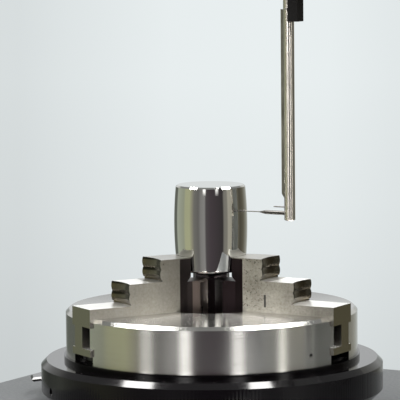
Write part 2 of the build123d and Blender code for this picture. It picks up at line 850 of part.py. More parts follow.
def make_jaw(angle, pocket_side):
    """One jaw: stepped block with a gripping arc, a lower nose, guide grooves and scroll teeth."""
    low = -jaw_bottom_depth
    top = jaw_step_heights[-1]
    half = jaw_width / 2
    upright = radial_plane(angle)
    with BuildPart() as jaw:
        # Lower block with the pointed nose
        with BuildSketch(jaw_plane(angle, low)):
            Polygon(
                (jaw_end_radius, -half),
                (jaw_end_radius, half),
                (nose_flank_start, half),
                (ledge_start, ledge_half_width),
                (ledge_corner, ledge_corner_half_width),
                (ledge_tip, ledge_tip_half_width),
                (ledge_tip, -ledge_tip_half_width),
                (ledge_corner, -ledge_corner_half_width),
                (ledge_start, -ledge_half_width),
                (nose_flank_start, -half),
                align=None,
            )
        extrude(amount=ledge_height - low)
        nose_edges = jaw.faces().sort_by(Axis.Z)[-1].edges().filter_by(
            lambda edge: upright.to_local_coords(edge.center()).X < ledge_corner
        )
        chamfer(nose_edges, ledge_chamfer)
        # Upper block with the gripping end
        with BuildSketch(jaw_plane(angle, ledge_height)):
            Polygon(
                (jaw_end_radius, -half),
                (jaw_end_radius, half),
                (nose_flank_start, half),
                (nose_flank_end, nose_flank_half_width),
                (nose_flank_end, -nose_flank_half_width),
                (nose_flank_start, -half),
                align=None,
            )
        extrude(amount=top - ledge_height)
        # Gripping arc about the spindle, with a relief above the ledge
        with BuildSketch(upright):
            Polygon(
                (0, ledge_height),
                (grip_radius + grip_relief_height, ledge_height),
                (grip_radius, ledge_height + grip_relief_height),
                (grip_radius, top + 1),
                (0, top + 1),
                align=None,
            )
        revolve(axis=Axis((spindle_x, 0, 0), (0, 0, 1)), mode=Mode.SUBTRACT)
        # Steps: each riser is a shallow arc in plan with two ridges
        arc_rise = sqrt(step_arc_radius**2 - half**2)
        for base, height, radius in zip(jaw_step_heights[:-1], jaw_step_heights[1:], jaw_step_radii):
            axis_radius = radius + arc_rise
            axis_point = jaw_plane(angle).from_local_coords((axis_radius, 0, 0))
            step_plane = Plane(origin=axis_point, x_dir=upright.x_dir, z_dir=upright.z_dir)
            foot = base + step_undercut
            ridge = (height - foot) / 2
            crest = step_arc_radius
            valley = crest + step_ridge_height
            groove = valley + step_ridge_height
            lip = valley - step_ridge_height / 3
            with BuildSketch(step_plane):
                with BuildLine():
                    Polyline((0, base), (groove, base), (groove, foot), (valley, foot))
                    ThreePointArc((valley, foot), (crest, foot + ridge / 2), (valley, foot + ridge))
                    ThreePointArc((valley, foot + ridge), (crest, foot + 1.5 * ridge), (lip, height))
                    Polyline((lip, height), (valley, height + 1), (0, height + 1), (0, base))
                make_face()
            revolve(axis=Axis(axis_point, (0, 0, 1)), mode=Mode.SUBTRACT)
        # Guide grooves on both sides
        groove_middle = -(rail_top_depth + rail_bottom_depth) / 2
        with BuildSketch(facing_plane(angle)):
            with Locations((half, groove_middle), (-half, groove_middle)):
                Rectangle(2 * (rail_width + sliding_clearance), rail_bottom_depth - rail_top_depth)
        extrude(amount=jaw_end_radius + 1, mode=Mode.SUBTRACT)
        # Pocket in the outer end, for drawing the jaw out
        with BuildSketch(facing_plane(angle, jaw_end_radius)):
            with Locations((pocket_side * (pocket_inner + pocket_outer) / 2, groove_middle)):
                Rectangle(pocket_outer - pocket_inner, rail_bottom_depth - rail_top_depth)
        extrude(amount=-pocket_length, mode=Mode.SUBTRACT)
        # Scroll teeth under the block, in the gaps of the spiral
        tooth_radius = scroll_start_radius + scroll_pitch * (angle / 360 - 0.5)
        while tooth_radius < tooth_last_radius:
            if tooth_radius > tooth_first_radius:
                with BuildSketch(jaw_plane(angle, low)):
                    Circle(tooth_radius + tooth_thickness / 2)
                    Circle(tooth_radius - tooth_thickness / 2, mode=Mode.SUBTRACT)
                    with Locations((tooth_radius, 0)):
                        Rectangle(4 * tooth_thickness, 2 * tooth_half_width, mode=Mode.INTERSECT)
                extrude(amount=-tooth_depth)
            tooth_radius += scroll_pitch
    return jaw


for jaw_number, (jaw_angle, jaw_pocket_side) in enumerate(zip(jaw_angles, jaw_pocket_sides), start=1):
    finished_jaw = make_jaw(jaw_angle, jaw_pocket_side)
    finished_jaw.part.label = f"jaw_{jaw_number}"
    export_step(finished_jaw.part, f"parts/jaw_{jaw_number}.step")

# Crowned roller
with BuildPart() as roller:
    with BuildSketch(radial_plane(0)):
        roller_top = roller_bottom + roller_height
        with BuildLine():
            Polyline(
                (roller_bottom_radius, roller_bottom + roller_edge),
                (roller_bottom_radius - roller_edge, roller_bottom),
                (0, roller_bottom),
                (0, roller_top),
                (roller_top_radius - roller_edge, roller_top),
                (roller_top_radius, roller_top - roller_edge),
            )
            ThreePointArc(
                (roller_top_radius, roller_top - roller_edge),
                (roller_crown_radius, roller_bottom + roller_crown_height),
                (roller_bottom_radius, roller_bottom + roller_edge),
            )
        make_face()
    revolve(axis=Axis((spindle_x, 0, 0), (0, 0, 1)))
roller.part.label = "roller"
export_step(roller.part, "parts/roller.step")

# Table lock: a pointed finger lever on a low boss
lever_pivot = (spindle_x + lever_pivot_x, lever_pivot_y)
with BuildPart() as lock_boss:
    with BuildSketch(Plane(origin=(*lever_pivot, deck_z))):
        Circle(lever_boss_radius)
    extrude(amount=lever_height - body_clearance - lever_thickness / 2)
    with BuildSketch(Plane(origin=(*lever_pivot, deck_z))):
        Circle(lever_boss_radius / 3)
    extrude(amount=lever_height + lever_thickness / 2)
lock_boss.part.label = "lock_boss"
export_step(lock_boss.part, "parts/lock_boss.step")

with BuildPart() as lock_lever:
    with BuildSketch(Plane(origin=(*lever_pivot, deck_z + lever_height - lever_thickness / 2))):
        Circle(lever_boss_radius)
        Polygon(
            (-lever_half_width, 0),
            (lever_half_width, 0),
            (lever_half_width + 2, lever_tip_y - lever_pivot_y + 6),
            (lever_tip_x - lever_pivot_x, lever_tip_y - lever_pivot_y),
            (-lever_half_width + 1, lever_tip_y - lever_pivot_y + 8),
            align=None,
        )
    extrude(amount=lever_thickness)
    chamfer(lock_lever.faces().filter_by(Axis.Z).edges(), lever_edge)
    with BuildSketch(Plane(origin=(*lever_pivot, deck_z + lever_height - lever_thickness / 2))):
        Circle(lever_boss_radius / 3 + running_clearance)
    extrude(amount=lever_thickness, mode=Mode.SUBTRACT)
lock_lever.part.label = "lock_lever"
export_step(lock_lever.part, "parts/lock_lever.step")

# Column: a hollow casting with a bolted foot
with BuildPart() as column:
    with BuildSketch(Plane(origin=(column_x, column_middle_y, deck_z))):
        RectangleRounded(column_foot_length, column_foot_depth, 2 * column_corner_radius)
    extrude(amount=column_foot_height)
    chamfer(column.faces().sort_by(Axis.Z)[-1].edges(), 2)
    with BuildSketch(Plane(origin=(column_x, column_middle_y, deck_z))):
        RectangleRounded(column_width, column_depth, column_corner_radius)
    extrude(amount=column_top_z - deck_z)
    with BuildSketch(Plane(origin=(column_x, column_middle_y, deck_z))):
        RectangleRounded(
            column_width - 2 * column_wall, column_depth - 2 * column_wall, column_corner_radius / 2
        )
    extrude(amount=column_top_z - deck_z, mode=Mode.SUBTRACT)
    with BuildSketch(Plane(origin=(column_x, column_middle_y, deck_z))):
        with GridLocations(column_bolt_x_spacing, column_bolt_y_spacing, 2, 2):
            Circle(column_bolt_radius)
    extrude(amount=column_foot_height, mode=Mode.SUBTRACT)
column.part.label = "column"
export_step(column.part, "parts/column.step")

with BuildPart() as column_bolts:
    with BuildSketch(Plane(origin=(column_x, column_middle_y, deck_z - column_bolt_depth))):
        with GridLocations(column_bolt_x_spacing, column_bolt_y_spacing, 2, 2):
            Circle(column_bolt_radius)
    extrude(amount=column_foot_height + column_bolt_depth)
    with BuildSketch(Plane(origin=(column_x, column_middle_y, deck_z + column_foot_height))):
        with GridLocations(column_bolt_x_spacing, column_bolt_y_spacing, 2, 2):
            Circle(1.6 * column_bolt_radius)
            RegularPolygon(0.9 * column_bolt_radius, 6, mode=Mode.SUBTRACT)
    extrude(amount=1.5 * column_bolt_radius)
column_bolts.part.label = "column_bolts"
export_step(column_bolts.part, "parts/column_bolts.step")

with BuildPart() as column_cap:
    with BuildSketch(Plane(origin=(column_x, column_middle_y, column_top_z))):
        RectangleRounded(column_width, column_depth, column_corner_radius)
    extrude(amount=cap_thickness)
    fillet(column_cap.faces().sort_by(Axis.Z)[-1].edges(), 2)
    with BuildSketch(Plane(origin=(column_x, column_middle_y, column_top_z))):
        Rectangle(column_width - 2 * column_wall - 4, column_depth - 2 * column_wall - 4)
    extrude(amount=-6)
column_cap.part.label = "column_cap"
export_step(column_cap.part, "parts/column_cap.step")

# Guide rail with waisted sides, and the lifting rack beside it
with BuildPart() as guide_rail:
    with BuildSketch(Plane(origin=(column_x, column_front_y, rail_bottom_z))):
        half_rail = rail_bar_width / 2
        Polygon(
            (-half_rail, 0),
            (-half_rail, -rail_bar_depth / 4),
            (-half_rail + rail_bar_waist, -rail_bar_depth / 2),
            (-half_rail, -3 * rail_bar_depth / 4),
            (-half_rail, -rail_bar_depth),
            (half_rail, -rail_bar_depth),
            (half_rail, -3 * rail_bar_depth / 4),
            (half_rail - rail_bar_waist, -rail_bar_depth / 2),
            (half_rail, -rail_bar_depth / 4),
            (half_rail, 0),
            align=None,
        )
    extrude(amount=rail_top_z - rail_bottom_z)
guide_rail.part.label = "guide_rail"
export_step(guide_rail.part, "parts/guide_rail.step")

rack_length = rail_top_z - rail_bottom_z
rack_root_y = rack_tip_y + gear_addendum + gear_dedendum
tooth_flank_angle = 70
tooth_height = gear_addendum + gear_dedendum
tooth_base = 0.5 * gear_pitch + 2 * gear_dedendum / 2.747 - body_clearance
first_tooth_z = pinion_z - gear_pitch * int((pinion_z - rail_bottom_z) / gear_pitch - 0.5)
last_tooth_z = pinion_z + gear_pitch * int((rail_top_z - pinion_z) / gear_pitch - 0.5)
rack_tooth_count = round((last_tooth_z - first_tooth_z) / gear_pitch) + 1
with BuildPart() as lift_rack:
    with BuildSketch(Plane.YZ.offset(column_x + rack_offset - rack_width / 2)):
        with Locations(((rack_root_y + column_front_y) / 2, (rail_top_z + rail_bottom_z) / 2)):
            Rectangle(column_front_y - rack_root_y, rack_length)
        with Locations((rack_root_y, (first_tooth_z + last_tooth_z) / 2)):
            with GridLocations(0, gear_pitch, 1, rack_tooth_count):
                Trapezoid(
                    tooth_base,
                    tooth_height,
                    tooth_flank_angle,
                    rotation=90,
                    align=(Align.CENTER, Align.MIN),
                )
    extrude(amount=rack_width)
lift_rack.part.label = "lift_rack"
export_step(lift_rack.part, "parts/lift_rack.step")

# Carriage: wraps the rail, holds the arm and the lifting pinion
with BuildPart() as carriage:
    with BuildSketch(Plane.XY.offset(arm_z - carriage_height / 2)):
        with Locations((column_x, (carriage_front_y + carriage_back_y) / 2)):
            RectangleRounded(carriage_width, carriage_back_y - carriage_front_y, carriage_edge)
        with Locations((column_x, column_front_y - rail_bar_depth / 2)):
            Rectangle(
                rail_bar_width + 2 * sliding_clearance,
                rail_bar_depth + 2 * sliding_clearance,
                mode=Mode.SUBTRACT,
            )
        with Locations((column_x + rack_offset, column_front_y - rack_depth / 2)):
            Rectangle(rack_width + 4 * body_clearance, rack_depth + 2 * body_clearance, mode=Mode.SUBTRACT)
    extrude(amount=carriage_height)
    # Bore for the arm
    with BuildSketch(Plane.YZ.offset(column_x - carriage_width / 2)):
        with Locations((0, arm_z)):
            Circle(arm_radius + running_clearance)
    extrude(amount=carriage_width, mode=Mode.SUBTRACT)
    # Pocket for the pinion, and the bore for its shaft
    with BuildSketch(Plane.YZ.offset(column_x + rack_offset - rack_width / 2 - 2 * body_clearance)):
        with Locations((pinion_y, pinion_z)):
            Circle(pocket_radius)
    extrude(amount=pinion_width + 4 * body_clearance, mode=Mode.SUBTRACT)
    with BuildSketch(Plane.YZ.offset(column_x + rack_offset)):
        with Locations((pinion_y, pinion_z)):
            Circle(lift_shaft_radius + running_clearance)
    extrude(amount=carriage_width, mode=Mode.SUBTRACT)
    # Threaded holes for the two clamp screws
    with BuildSketch(Plane.XZ.offset(-carriage_front_y)):
        with Locations((column_x, arm_z)):
            Circle(clamp_shaft_radius + running_clearance)
    extrude(amount=carriage_front_y, mode=Mode.SUBTRACT)
    with BuildSketch(Plane.YZ.offset(column_x - carriage_width / 2)):
        with Locations((column_front_y - rail_bar_depth / 4 * 3.5, arm_z - carriage_clamp_drop)):
            Circle(clamp_shaft_radius + running_clearance)
    extrude(amount=carriage_width / 2 - rail_bar_width / 2, mode=Mode.SUBTRACT)
carriage.part.label = "carriage"
export_step(carriage.part, "parts/carriage.step")

# Lifting pinion on its shaft
pinion_root_radius = pinion_radius - gear_dedendum
pinion_tooth_base = 0.5 * gear_pitch
with BuildPart() as lift_pinion:
    with BuildSketch(Plane.YZ.offset(column_x + rack_offset - rack_width / 2)):
        with Locations((pinion_y, pinion_z)):
            Circle(pinion_root_radius)
            with PolarLocations(pinion_root_radius - 0.3, pinion_teeth, start_angle=180 / pinion_teeth):
                Trapezoid(
                    pinion_tooth_base + 0.2,
                    tooth_height + 0.2,
                    tooth_flank_angle,
                    rotation=-90,
                    align=(Align.CENTER, Align.MIN),
                )
    extrude(amount=pinion_width)
    with BuildSketch(Plane.YZ.offset(column_x + rack_offset)):
        with Locations((pinion_y, pinion_z)):
            Circle(lift_shaft_radius)
    extrude(amount=carriage_width / 2 - rack_offset + lift_knob_width / 2)
lift_pinion.part.label = "lift_pinion"
export_step(lift_pinion.part, "parts/lift_pinion.step")

# Lifting handwheel on the pinion's shaft
lift_knob_x = column_x + carriage_width / 2 + 1
with BuildPart() as lift_knob:
    with BuildSketch(Plane.YZ.offset(lift_knob_x)):
        with Locations((pinion_y, pinion_z)):
            Circle(lift_knob_radius)
            with PolarLocations(lift_knob_radius + 2, 12):
                Circle(4, mode=Mode.SUBTRACT)
    extrude(amount=lift_knob_width)
    chamfer(lift_knob.faces().sort_by(Axis.X)[-1].edges(), 1)
    with BuildSketch(Plane.YZ.offset(lift_knob_x)):
        with Locations((pinion_y, pinion_z)):
            Circle(lift_shaft_radius)
    extrude(amount=lift_knob_width / 2 - 1, mode=Mode.SUBTRACT)
lift_knob.part.label = "lift_knob"
export_step(lift_knob.part, "parts/lift_knob.step")


def clamp_knob(seat, shaft_length):
    """Fluted knob standing on its seat plane, with a plain shaft going into the work."""
    with BuildPart() as knob:
        with BuildSketch(seat):
            Circle(knob_radius)
            with PolarLocations(knob_radius + knob_flute_radius / 2, knob_flutes):
                Circle(knob_flute_radius, mode=Mode.SUBTRACT)
        extrude(amount=knob_height)
        with BuildSketch(seat):
            Circle(clamp_shaft_radius)
        extrude(amount=-shaft_length)
    return knob


arm_clamp_seat = Plane(origin=(column_x, carriage_front_y - 1, arm_z), z_dir=(0, -1, 0))
arm_clamp = clamp_knob(arm_clamp_seat, -carriage_front_y + 1 - arm_radius - body_clearance)
arm_clamp.part.label = "arm_clamp"
export_step(arm_clamp.part, "parts/arm_clamp.step")

carriage_side_x = column_x - carriage_width / 2
carriage_clamp_y = column_front_y - rail_bar_depth / 4 * 3.5
carriage_clamp_z = arm_z - carriage_clamp_drop
carriage_clamp_seat = Plane(
    origin=(carriage_side_x - 1, carriage_clamp_y, carriage_clamp_z), z_dir=(-1, 0, 0)
)
carriage_clamp = clamp_knob(carriage_clamp_seat, (carriage_width - rail_bar_width) / 2 + 1 - body_clearance)
carriage_clamp.part.label = "carriage_clamp"
export_step(carriage_clamp.part, "parts/carriage_clamp.step")

# Arm: round bar through the carriage, with a head at its free end
pivot_x = tube_x + 3
head_right_x = pivot_x + head_length - 12
with BuildPart() as arm:
    with BuildSketch(Plane.YZ.offset(pivot_x + 8)):
        with Locations((0, arm_z)):
            Circle(arm_radius)
    extrude(amount=arm_right_end - pivot_x - 8)
    chamfer(arm.faces().sort_by(Axis.X)[-1].edges(), 1)
arm.part.label = "arm"
export_step(arm.part, "parts/arm.step")

with BuildPart() as arm_head:
    with BuildSketch(Plane.XZ.offset(-head_width / 2)):
        with Locations((head_right_x - head_length / 2, arm_z)):
            RectangleRounded(head_length, head_height, 5)
    extrude(amount=head_width)
    with BuildSketch(Plane.YZ.offset(pivot_x + 8)):
        with Locations((0, arm_z)):
            Circle(arm_radius)
    extrude(amount=head_length, mode=Mode.SUBTRACT)
    with BuildSketch(Plane.XZ.offset(head_width / 2)):
        with Locations((pivot_x, arm_z)):
            Circle(clamp_shaft_radius + running_clearance)
    extrude(amount=-head_width + 2, mode=Mode.SUBTRACT)
arm_head.part.label = "arm_head"
export_step(arm_head.part, "parts/arm_head.step")

# Swivel bracket in front of the head, which carries the detector under the arm
swivel_back_y = -head_width / 2 - body_clearance
swivel_bottom_z = chuck_face_z + housing_top_height
with BuildPart() as swivel_bracket:
    with BuildSketch(Plane.XZ.offset(-swivel_back_y)):
        with Locations((pivot_x, arm_z)):
            Circle(swivel_plate_radius)
        with Locations((pivot_x, (arm_z + swivel_bottom_z) / 2)):
            Rectangle(2 * swivel_plate_radius - 4, arm_z - swivel_bottom_z)
        with Locations((pivot_x, arm_z)):
            Circle(clamp_shaft_radius + running_clearance, mode=Mode.SUBTRACT)
    extrude(amount=swivel_plate_thickness)
    with BuildSketch(Plane.XY.offset(swivel_bottom_z)):
        with Locations((pivot_x, (swivel_back_y - swivel_plate_thickness + housing_depth / 2) / 2)):
            Rectangle(housing_width, housing_depth / 2 - swivel_back_y + swivel_plate_thickness)
    extrude(amount=arm_z - swivel_block_top - swivel_bottom_z)
swivel_bracket.part.label = "swivel_bracket"
export_step(swivel_bracket.part, "parts/swivel_bracket.step")

swivel_seat = Plane(
    origin=(pivot_x, swivel_back_y - swivel_plate_thickness - body_clearance, arm_z), z_dir=(0, -1, 0)
)
swivel_knob = clamp_knob(swivel_seat, swivel_plate_thickness + head_width - 3)
swivel_knob.part.label = "swivel_knob"
export_step(swivel_knob.part, "parts/swivel_knob.step")

# Detector housing with the bore that takes the tube
with BuildPart() as detector_housing:
    with BuildSketch(Plane.XY.offset(chuck_face_z + housing_bottom_height)):
        with Locations((pivot_x, 0)):
            RectangleRounded(housing_width, housing_depth, 3)
    extrude(amount=housing_top_height - housing_bottom_height)
    with BuildSketch(Plane.XY.offset(chuck_face_z + housing_bottom_height)):
        with Locations((tube_x, 0)):
            Circle(tube_radius)
    extrude(amount=tube_top - housing_bottom_height, mode=Mode.SUBTRACT)
detector_housing.part.label = "detector_housing"
export_step(detector_housing.part, "parts/detector_housing.step")

# Slim black holder behind the tube, with lips that wrap it
with BuildPart() as tube_holder:
    with BuildSketch(Plane.XY.offset(chuck_face_z + holder_bottom)):
        with Locations((tube_x + holder_reach / 2 + 0.6, 0)):
            Rectangle(holder_reach - 0.4, holder_width)
        with Locations((tube_x, 0)):
            Circle(tube_radius, mode=Mode.SUBTRACT)
    extrude(amount=housing_bottom_height - holder_bottom)
tube_holder.part.label = "tube_holder"
export_step(tube_holder.part, "parts/tube_holder.step")

# Detector tube with the slots for the stylus and the small lever
with BuildPart() as stylus_tube:
    with BuildSketch(Plane(origin=(tube_x, 0, chuck_face_z + tube_bottom))):
        Circle(tube_radius)
    extrude(amount=tube_top - tube_bottom)
    chamfer(stylus_tube.faces().sort_by(Axis.Z)[0].edges(), 0.4)
    with BuildSketch(Plane(origin=(tube_x, 0, chuck_face_z + tube_bottom))):
        Circle(tube_radius - tube_wall)
    extrude(amount=tube_top - tube_bottom, mode=Mode.SUBTRACT)
    slot_width = 2 * stylus_sleeve_radius + 2 * body_clearance
    slot_bottom = stylus_height - stylus_sleeve_radius - 1.5 * body_clearance
    with BuildSketch(Plane(origin=(tube_x, 0, chuck_face_z + slot_bottom))):
        with Locations((-tube_radius, 0)):
            Rectangle(2 * tube_wall + 1.4, slot_width)
    extrude(amount=stylus_height + guard_pin_rise + 1 - slot_bottom, mode=Mode.SUBTRACT)
    with BuildSketch(Plane(origin=(tube_x, 0, chuck_face_z + switch_lever_height - 2))):
        with Locations((-tube_radius, 0)):
            Rectangle(2 * tube_wall + 1.4, 4 * switch_lever_radius)
    extrude(amount=3.4, mode=Mode.SUBTRACT)
    with BuildSketch(Plane.XZ.offset(-tube_radius)):
        with Locations((tube_x, chuck_face_z + stylus_pivot_height)):
            Circle(stylus_pivot_radius)
    extrude(amount=2 * tube_radius, mode=Mode.SUBTRACT)
stylus_tube.part.label = "stylus_tube"
export_step(stylus_tube.part, "parts/stylus_tube.step")

# Thin guard blade along the tube
with BuildPart() as tube_blade:
    with BuildSketch(Plane.XZ.offset(-blade_thickness / 2)):
        blade_root_x = tube_x - sqrt(tube_radius**2 - (blade_thickness / 2) ** 2)
        Polygon(
            (blade_root_x, chuck_face_z + blade_bottom),
            (blade_root_x, chuck_face_z + blade_top),
            (tube_x - tube_radius - blade_reach, chuck_face_z + blade_top),
            (tube_x - tube_radius - blade_reach, chuck_face_z + blade_bottom + 2),
            align=None,
        )
    extrude(amount=blade_thickness)
    with BuildSketch(Plane(origin=(tube_x, 0, chuck_face_z + blade_bottom))):
        Circle(tube_radius)
    extrude(amount=blade_top - blade_bottom, mode=Mode.SUBTRACT)
tube_blade.part.label = "tube_blade"
export_step(tube_blade.part, "parts/tube_blade.step")

# Cross pin on which the stylus swings
with BuildPart() as stylus_pivot:
    with BuildSketch(Plane.XZ.offset(-tube_radius)):
        with Locations((tube_x, chuck_face_z + stylus_pivot_height)):
            Circle(stylus_pivot_radius)
    extrude(amount=2 * tube_radius)
stylus_pivot.part.label = "stylus_pivot"
export_step(stylus_pivot.part, "parts/stylus_pivot.step")

# Stylus: inner rod with its pivot eye, clamp sleeve with a tapered nose, thin shaft and ball
roller_touch_radius = roller_crown_radius - 0.06
ball_x = spindle_x + roller_touch_radius + stylus_gap + stylus_ball_radius
sleeve_end_x = spindle_x + stylus_sleeve_reach
stylus_z = chuck_face_z + stylus_height
with BuildPart() as stylus:
    with BuildSketch(Plane(origin=(tube_x, 0, chuck_face_z + tube_bottom + 1))):
        Circle(lever_rod_radius)
    extrude(amount=stylus_pivot_height - tube_bottom - 1)
    with BuildSketch(Plane.XZ.offset(-lever_rod_radius)):
        with Locations((tube_x, chuck_face_z + stylus_pivot_height)):
            Circle(stylus_eye_radius)
            Circle(stylus_pivot_radius + running_clearance, mode=Mode.SUBTRACT)
    extrude(amount=2 * lever_rod_radius)
    with BuildSketch(Plane.XZ.offset(-lever_rod_radius)):
        with Locations((tube_x, chuck_face_z + stylus_pivot_height)):
            Circle(stylus_pivot_radius + running_clearance)
    extrude(amount=2 * lever_rod_radius, mode=Mode.SUBTRACT)
    with BuildSketch(Plane.XZ):
        with BuildLine():
            Polyline(
                (ball_x, stylus_z),
                (ball_x, stylus_z + stylus_shaft_radius),
                (sleeve_end_x - stylus_nose_length, stylus_z + stylus_shaft_radius),
                (sleeve_end_x, stylus_z + stylus_sleeve_radius),
                (tube_x, stylus_z + stylus_sleeve_radius),
                (tube_x, stylus_z),
                close=True,
            )
        make_face()
    revolve(axis=Axis((0, 0, stylus_z), (1, 0, 0)))
    with Locations((ball_x, 0, stylus_z)):
        Sphere(stylus_ball_radius)
    with BuildSketch(Plane.YZ.offset(tube_x - tube_radius - guard_pin_length)):
        with Locations((0, stylus_z + guard_pin_rise)):
            Circle(guard_pin_radius)
    extrude(amount=tube_radius + guard_pin_length)
stylus.part.label = "stylus"
export_step(stylus.part, "parts/stylus.step")

# Small lever that reverses the measuring direction
with BuildPart() as direction_lever:
    lever_start = Vector(tube_x, 0, chuck_face_z + switch_lever_height)
    lever_end = lever_start + Vector(-switch_lever_reach - tube_radius, 0, -switch_lever_drop)
    with BuildSketch(Plane(origin=lever_start, z_dir=lever_end - lever_start)):
        Circle(switch_lever_radius)
    extrude(amount=(lever_end - lever_start).length)
    with BuildSketch(Plane(origin=lever_start, z_dir=(0, 1, 0))):
        Circle(2 * switch_lever_radius)
    extrude(amount=1.3, both=True)
direction_lever.part.label = "direction_lever"
export_step(direction_lever.part, "parts/direction_lever.step")

# Push buttons in the front panel, each with a flange behind the wall
button_places = {
    "start_button": panel_x - button_spacing / 2,
    "stop_button": panel_x + button_spacing / 2,
}
wall_inside_y = front_y + base_wall
for button_name, button_x in button_places.items():
    with BuildPart() as button:
        button_face_y = front_y + panel_recess - button_proud
        with BuildSketch(Plane.XZ.offset(-button_face_y)):
            with Locations((button_x, panel_z)):
                Circle(button_radius - body_clearance)
        extrude(amount=-(wall_inside_y + body_clearance - button_face_y))
        fillet(button.faces().sort_by(Axis.Y)[0].edges(), 1)
        with BuildSketch(Plane.XZ.offset(-wall_inside_y - body_clearance)):
            with Locations((button_x, panel_z)):
                Circle(button_flange_radius)
        extrude(amount=-button_flange_thickness)
    button.part.label = button_name
    export_step(button.part, f"parts/{button_name}.step")

# Mains inlet with a window for the rocker
inlet_outer_y = rear_y - panel_recess + inlet_flange
with BuildPart() as power_inlet:
    with BuildSketch(Plane.XZ.offset(-inlet_outer_y)):
        with Locations((inlet_x, inlet_z)):
            RectangleRounded(inlet_length, inlet_height, 3)
    extrude(amount=inlet_flange)
    with BuildSketch(Plane.XZ.offset(-rear_y + panel_recess)):
        with Locations((inlet_x, inlet_z)):
            Rectangle(inlet_length - 7, inlet_height - 7)
    extrude(amount=inlet_depth)
    with BuildSketch(Plane.XZ.offset(-inlet_outer_y)):
        with Locations((inlet_x + inlet_socket_x, inlet_z)):
            RectangleRounded(inlet_socket_length, inlet_socket_height, 2)
    extrude(amount=inlet_depth - 2, mode=Mode.SUBTRACT)
    with BuildSketch(Plane.XZ.offset(-inlet_outer_y)):
        with Locations((inlet_x + rocker_x, inlet_z)):
            Rectangle(rocker_width + 2 * body_clearance, 2 * rocker_half_length + 1.6)
    extrude(amount=inlet_depth - 4, mode=Mode.SUBTRACT)
    with BuildSketch(Plane.XZ.offset(-inlet_outer_y + inlet_depth - 2)):
        with Locations((inlet_x + inlet_socket_x, inlet_z)):
            with Locations((-6, 0), (6, 0), (0, 4)):
                Rectangle(2, 4)
    extrude(amount=-10)
power_inlet.part.label = "power_inlet"
export_step(power_inlet.part, "parts/power_inlet.step")

# Rocker, resting with its upper half pressed in
rocker_pivot_y = rear_y - panel_recess - 1.5
with BuildPart() as power_switch:
    rocker_plane = Plane(
        origin=(inlet_x + rocker_x, rocker_pivot_y, inlet_z),
        x_dir=(0, sin(radians(rocker_tilt)), -cos(radians(rocker_tilt))),
        z_dir=(1, 0, 0),
    )
    with BuildSketch(rocker_plane):
        Polygon(
            (-rocker_half_length, 2.6),
            (0, 1.4),
            (rocker_half_length, 2.6),
            (rocker_half_length, -2.6),
            (0, -5),
            (-rocker_half_length, -2.6),
            align=None,
        )
    extrude(amount=rocker_width / 2, both=True)
power_switch.part.label = "power_switch"
export_step(power_switch.part, "parts/power_switch.step")

with BuildPart() as signal_socket:
    with BuildSketch(Plane.XZ.offset(-rear_y)):
        with Locations((signal_x, inlet_z)):
            Circle(signal_radius)
            Circle(signal_radius - 2.5, mode=Mode.SUBTRACT)
    extrude(amount=base_wall + 4)
    with BuildSketch(Plane.XZ.offset(-rear_y + 6)):
        with Locations((signal_x, inlet_z)):
            Circle(signal_radius)
    extrude(amount=base_wall)
    with BuildSketch(Plane.XZ.offset(-rear_y + base_wall)):
        with Locations((signal_x, inlet_z)):
            Circle(signal_radius + 3)
    extrude(amount=2)
signal_socket.part.label = "signal_socket"
export_step(signal_socket.part, "parts/signal_socket.step")

# Circuit board on four spacers above the base plate
with BuildPart() as circuit_board:
    with BuildSketch(Plane(origin=(board_x, board_y, board_z))):
        Rectangle(board_length, board_width)
    extrude(amount=board_thickness)
    with BuildSketch(Plane(origin=(board_x, board_y, board_z))):
        with GridLocations(board_length - 2 * spacer_inset, board_width - 2 * spacer_inset, 2, 2):
            Circle(spacer_radius)
    extrude(amount=housing_bottom - board_z)
    # Transformer, regulator and three capacitors, set in from the board's edges
    board_right = board_length / 2 - board_margin
    board_back = board_width / 2 - board_margin
    with BuildSketch(Plane(origin=(board_x, board_y, board_z + board_thickness))):
        with Locations((transformer_length / 2 - board_right, board_back - transformer_width / 2)):
            Rectangle(transformer_length, transformer_width)
        with Locations((board_right - regulator_size / 2, regulator_size / 2 - board_back)):
            Rectangle(regulator_size, regulator_size)
        with Locations((board_right - capacitor_spacing - capacitor_radius, board_back - capacitor_radius)):
            with GridLocations(capacitor_spacing, 0, 3, 1):
                Circle(capacitor_radius)
    extrude(amount=board_block_height)
circuit_board.part.label = "circuit_board"
export_step(circuit_board.part, "parts/circuit_board.step")
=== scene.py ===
import math

import bpy
from mathutils import Matrix, Vector


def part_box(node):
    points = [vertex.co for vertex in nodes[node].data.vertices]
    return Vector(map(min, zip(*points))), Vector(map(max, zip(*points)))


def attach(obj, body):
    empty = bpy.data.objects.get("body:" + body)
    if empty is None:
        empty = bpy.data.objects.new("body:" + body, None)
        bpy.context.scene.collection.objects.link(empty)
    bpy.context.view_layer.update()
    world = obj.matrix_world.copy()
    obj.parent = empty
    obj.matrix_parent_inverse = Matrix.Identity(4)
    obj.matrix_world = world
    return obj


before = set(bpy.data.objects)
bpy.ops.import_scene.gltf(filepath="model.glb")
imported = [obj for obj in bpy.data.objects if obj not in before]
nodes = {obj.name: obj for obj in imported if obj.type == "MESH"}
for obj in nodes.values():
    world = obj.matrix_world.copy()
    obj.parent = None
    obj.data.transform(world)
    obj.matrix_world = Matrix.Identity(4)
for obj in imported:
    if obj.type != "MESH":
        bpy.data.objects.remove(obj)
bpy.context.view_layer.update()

# Everything is in metres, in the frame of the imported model: +X to the column, +Y to the rear, +Z up.
mm = 0.001
upwards = Vector((0, 0, 1))

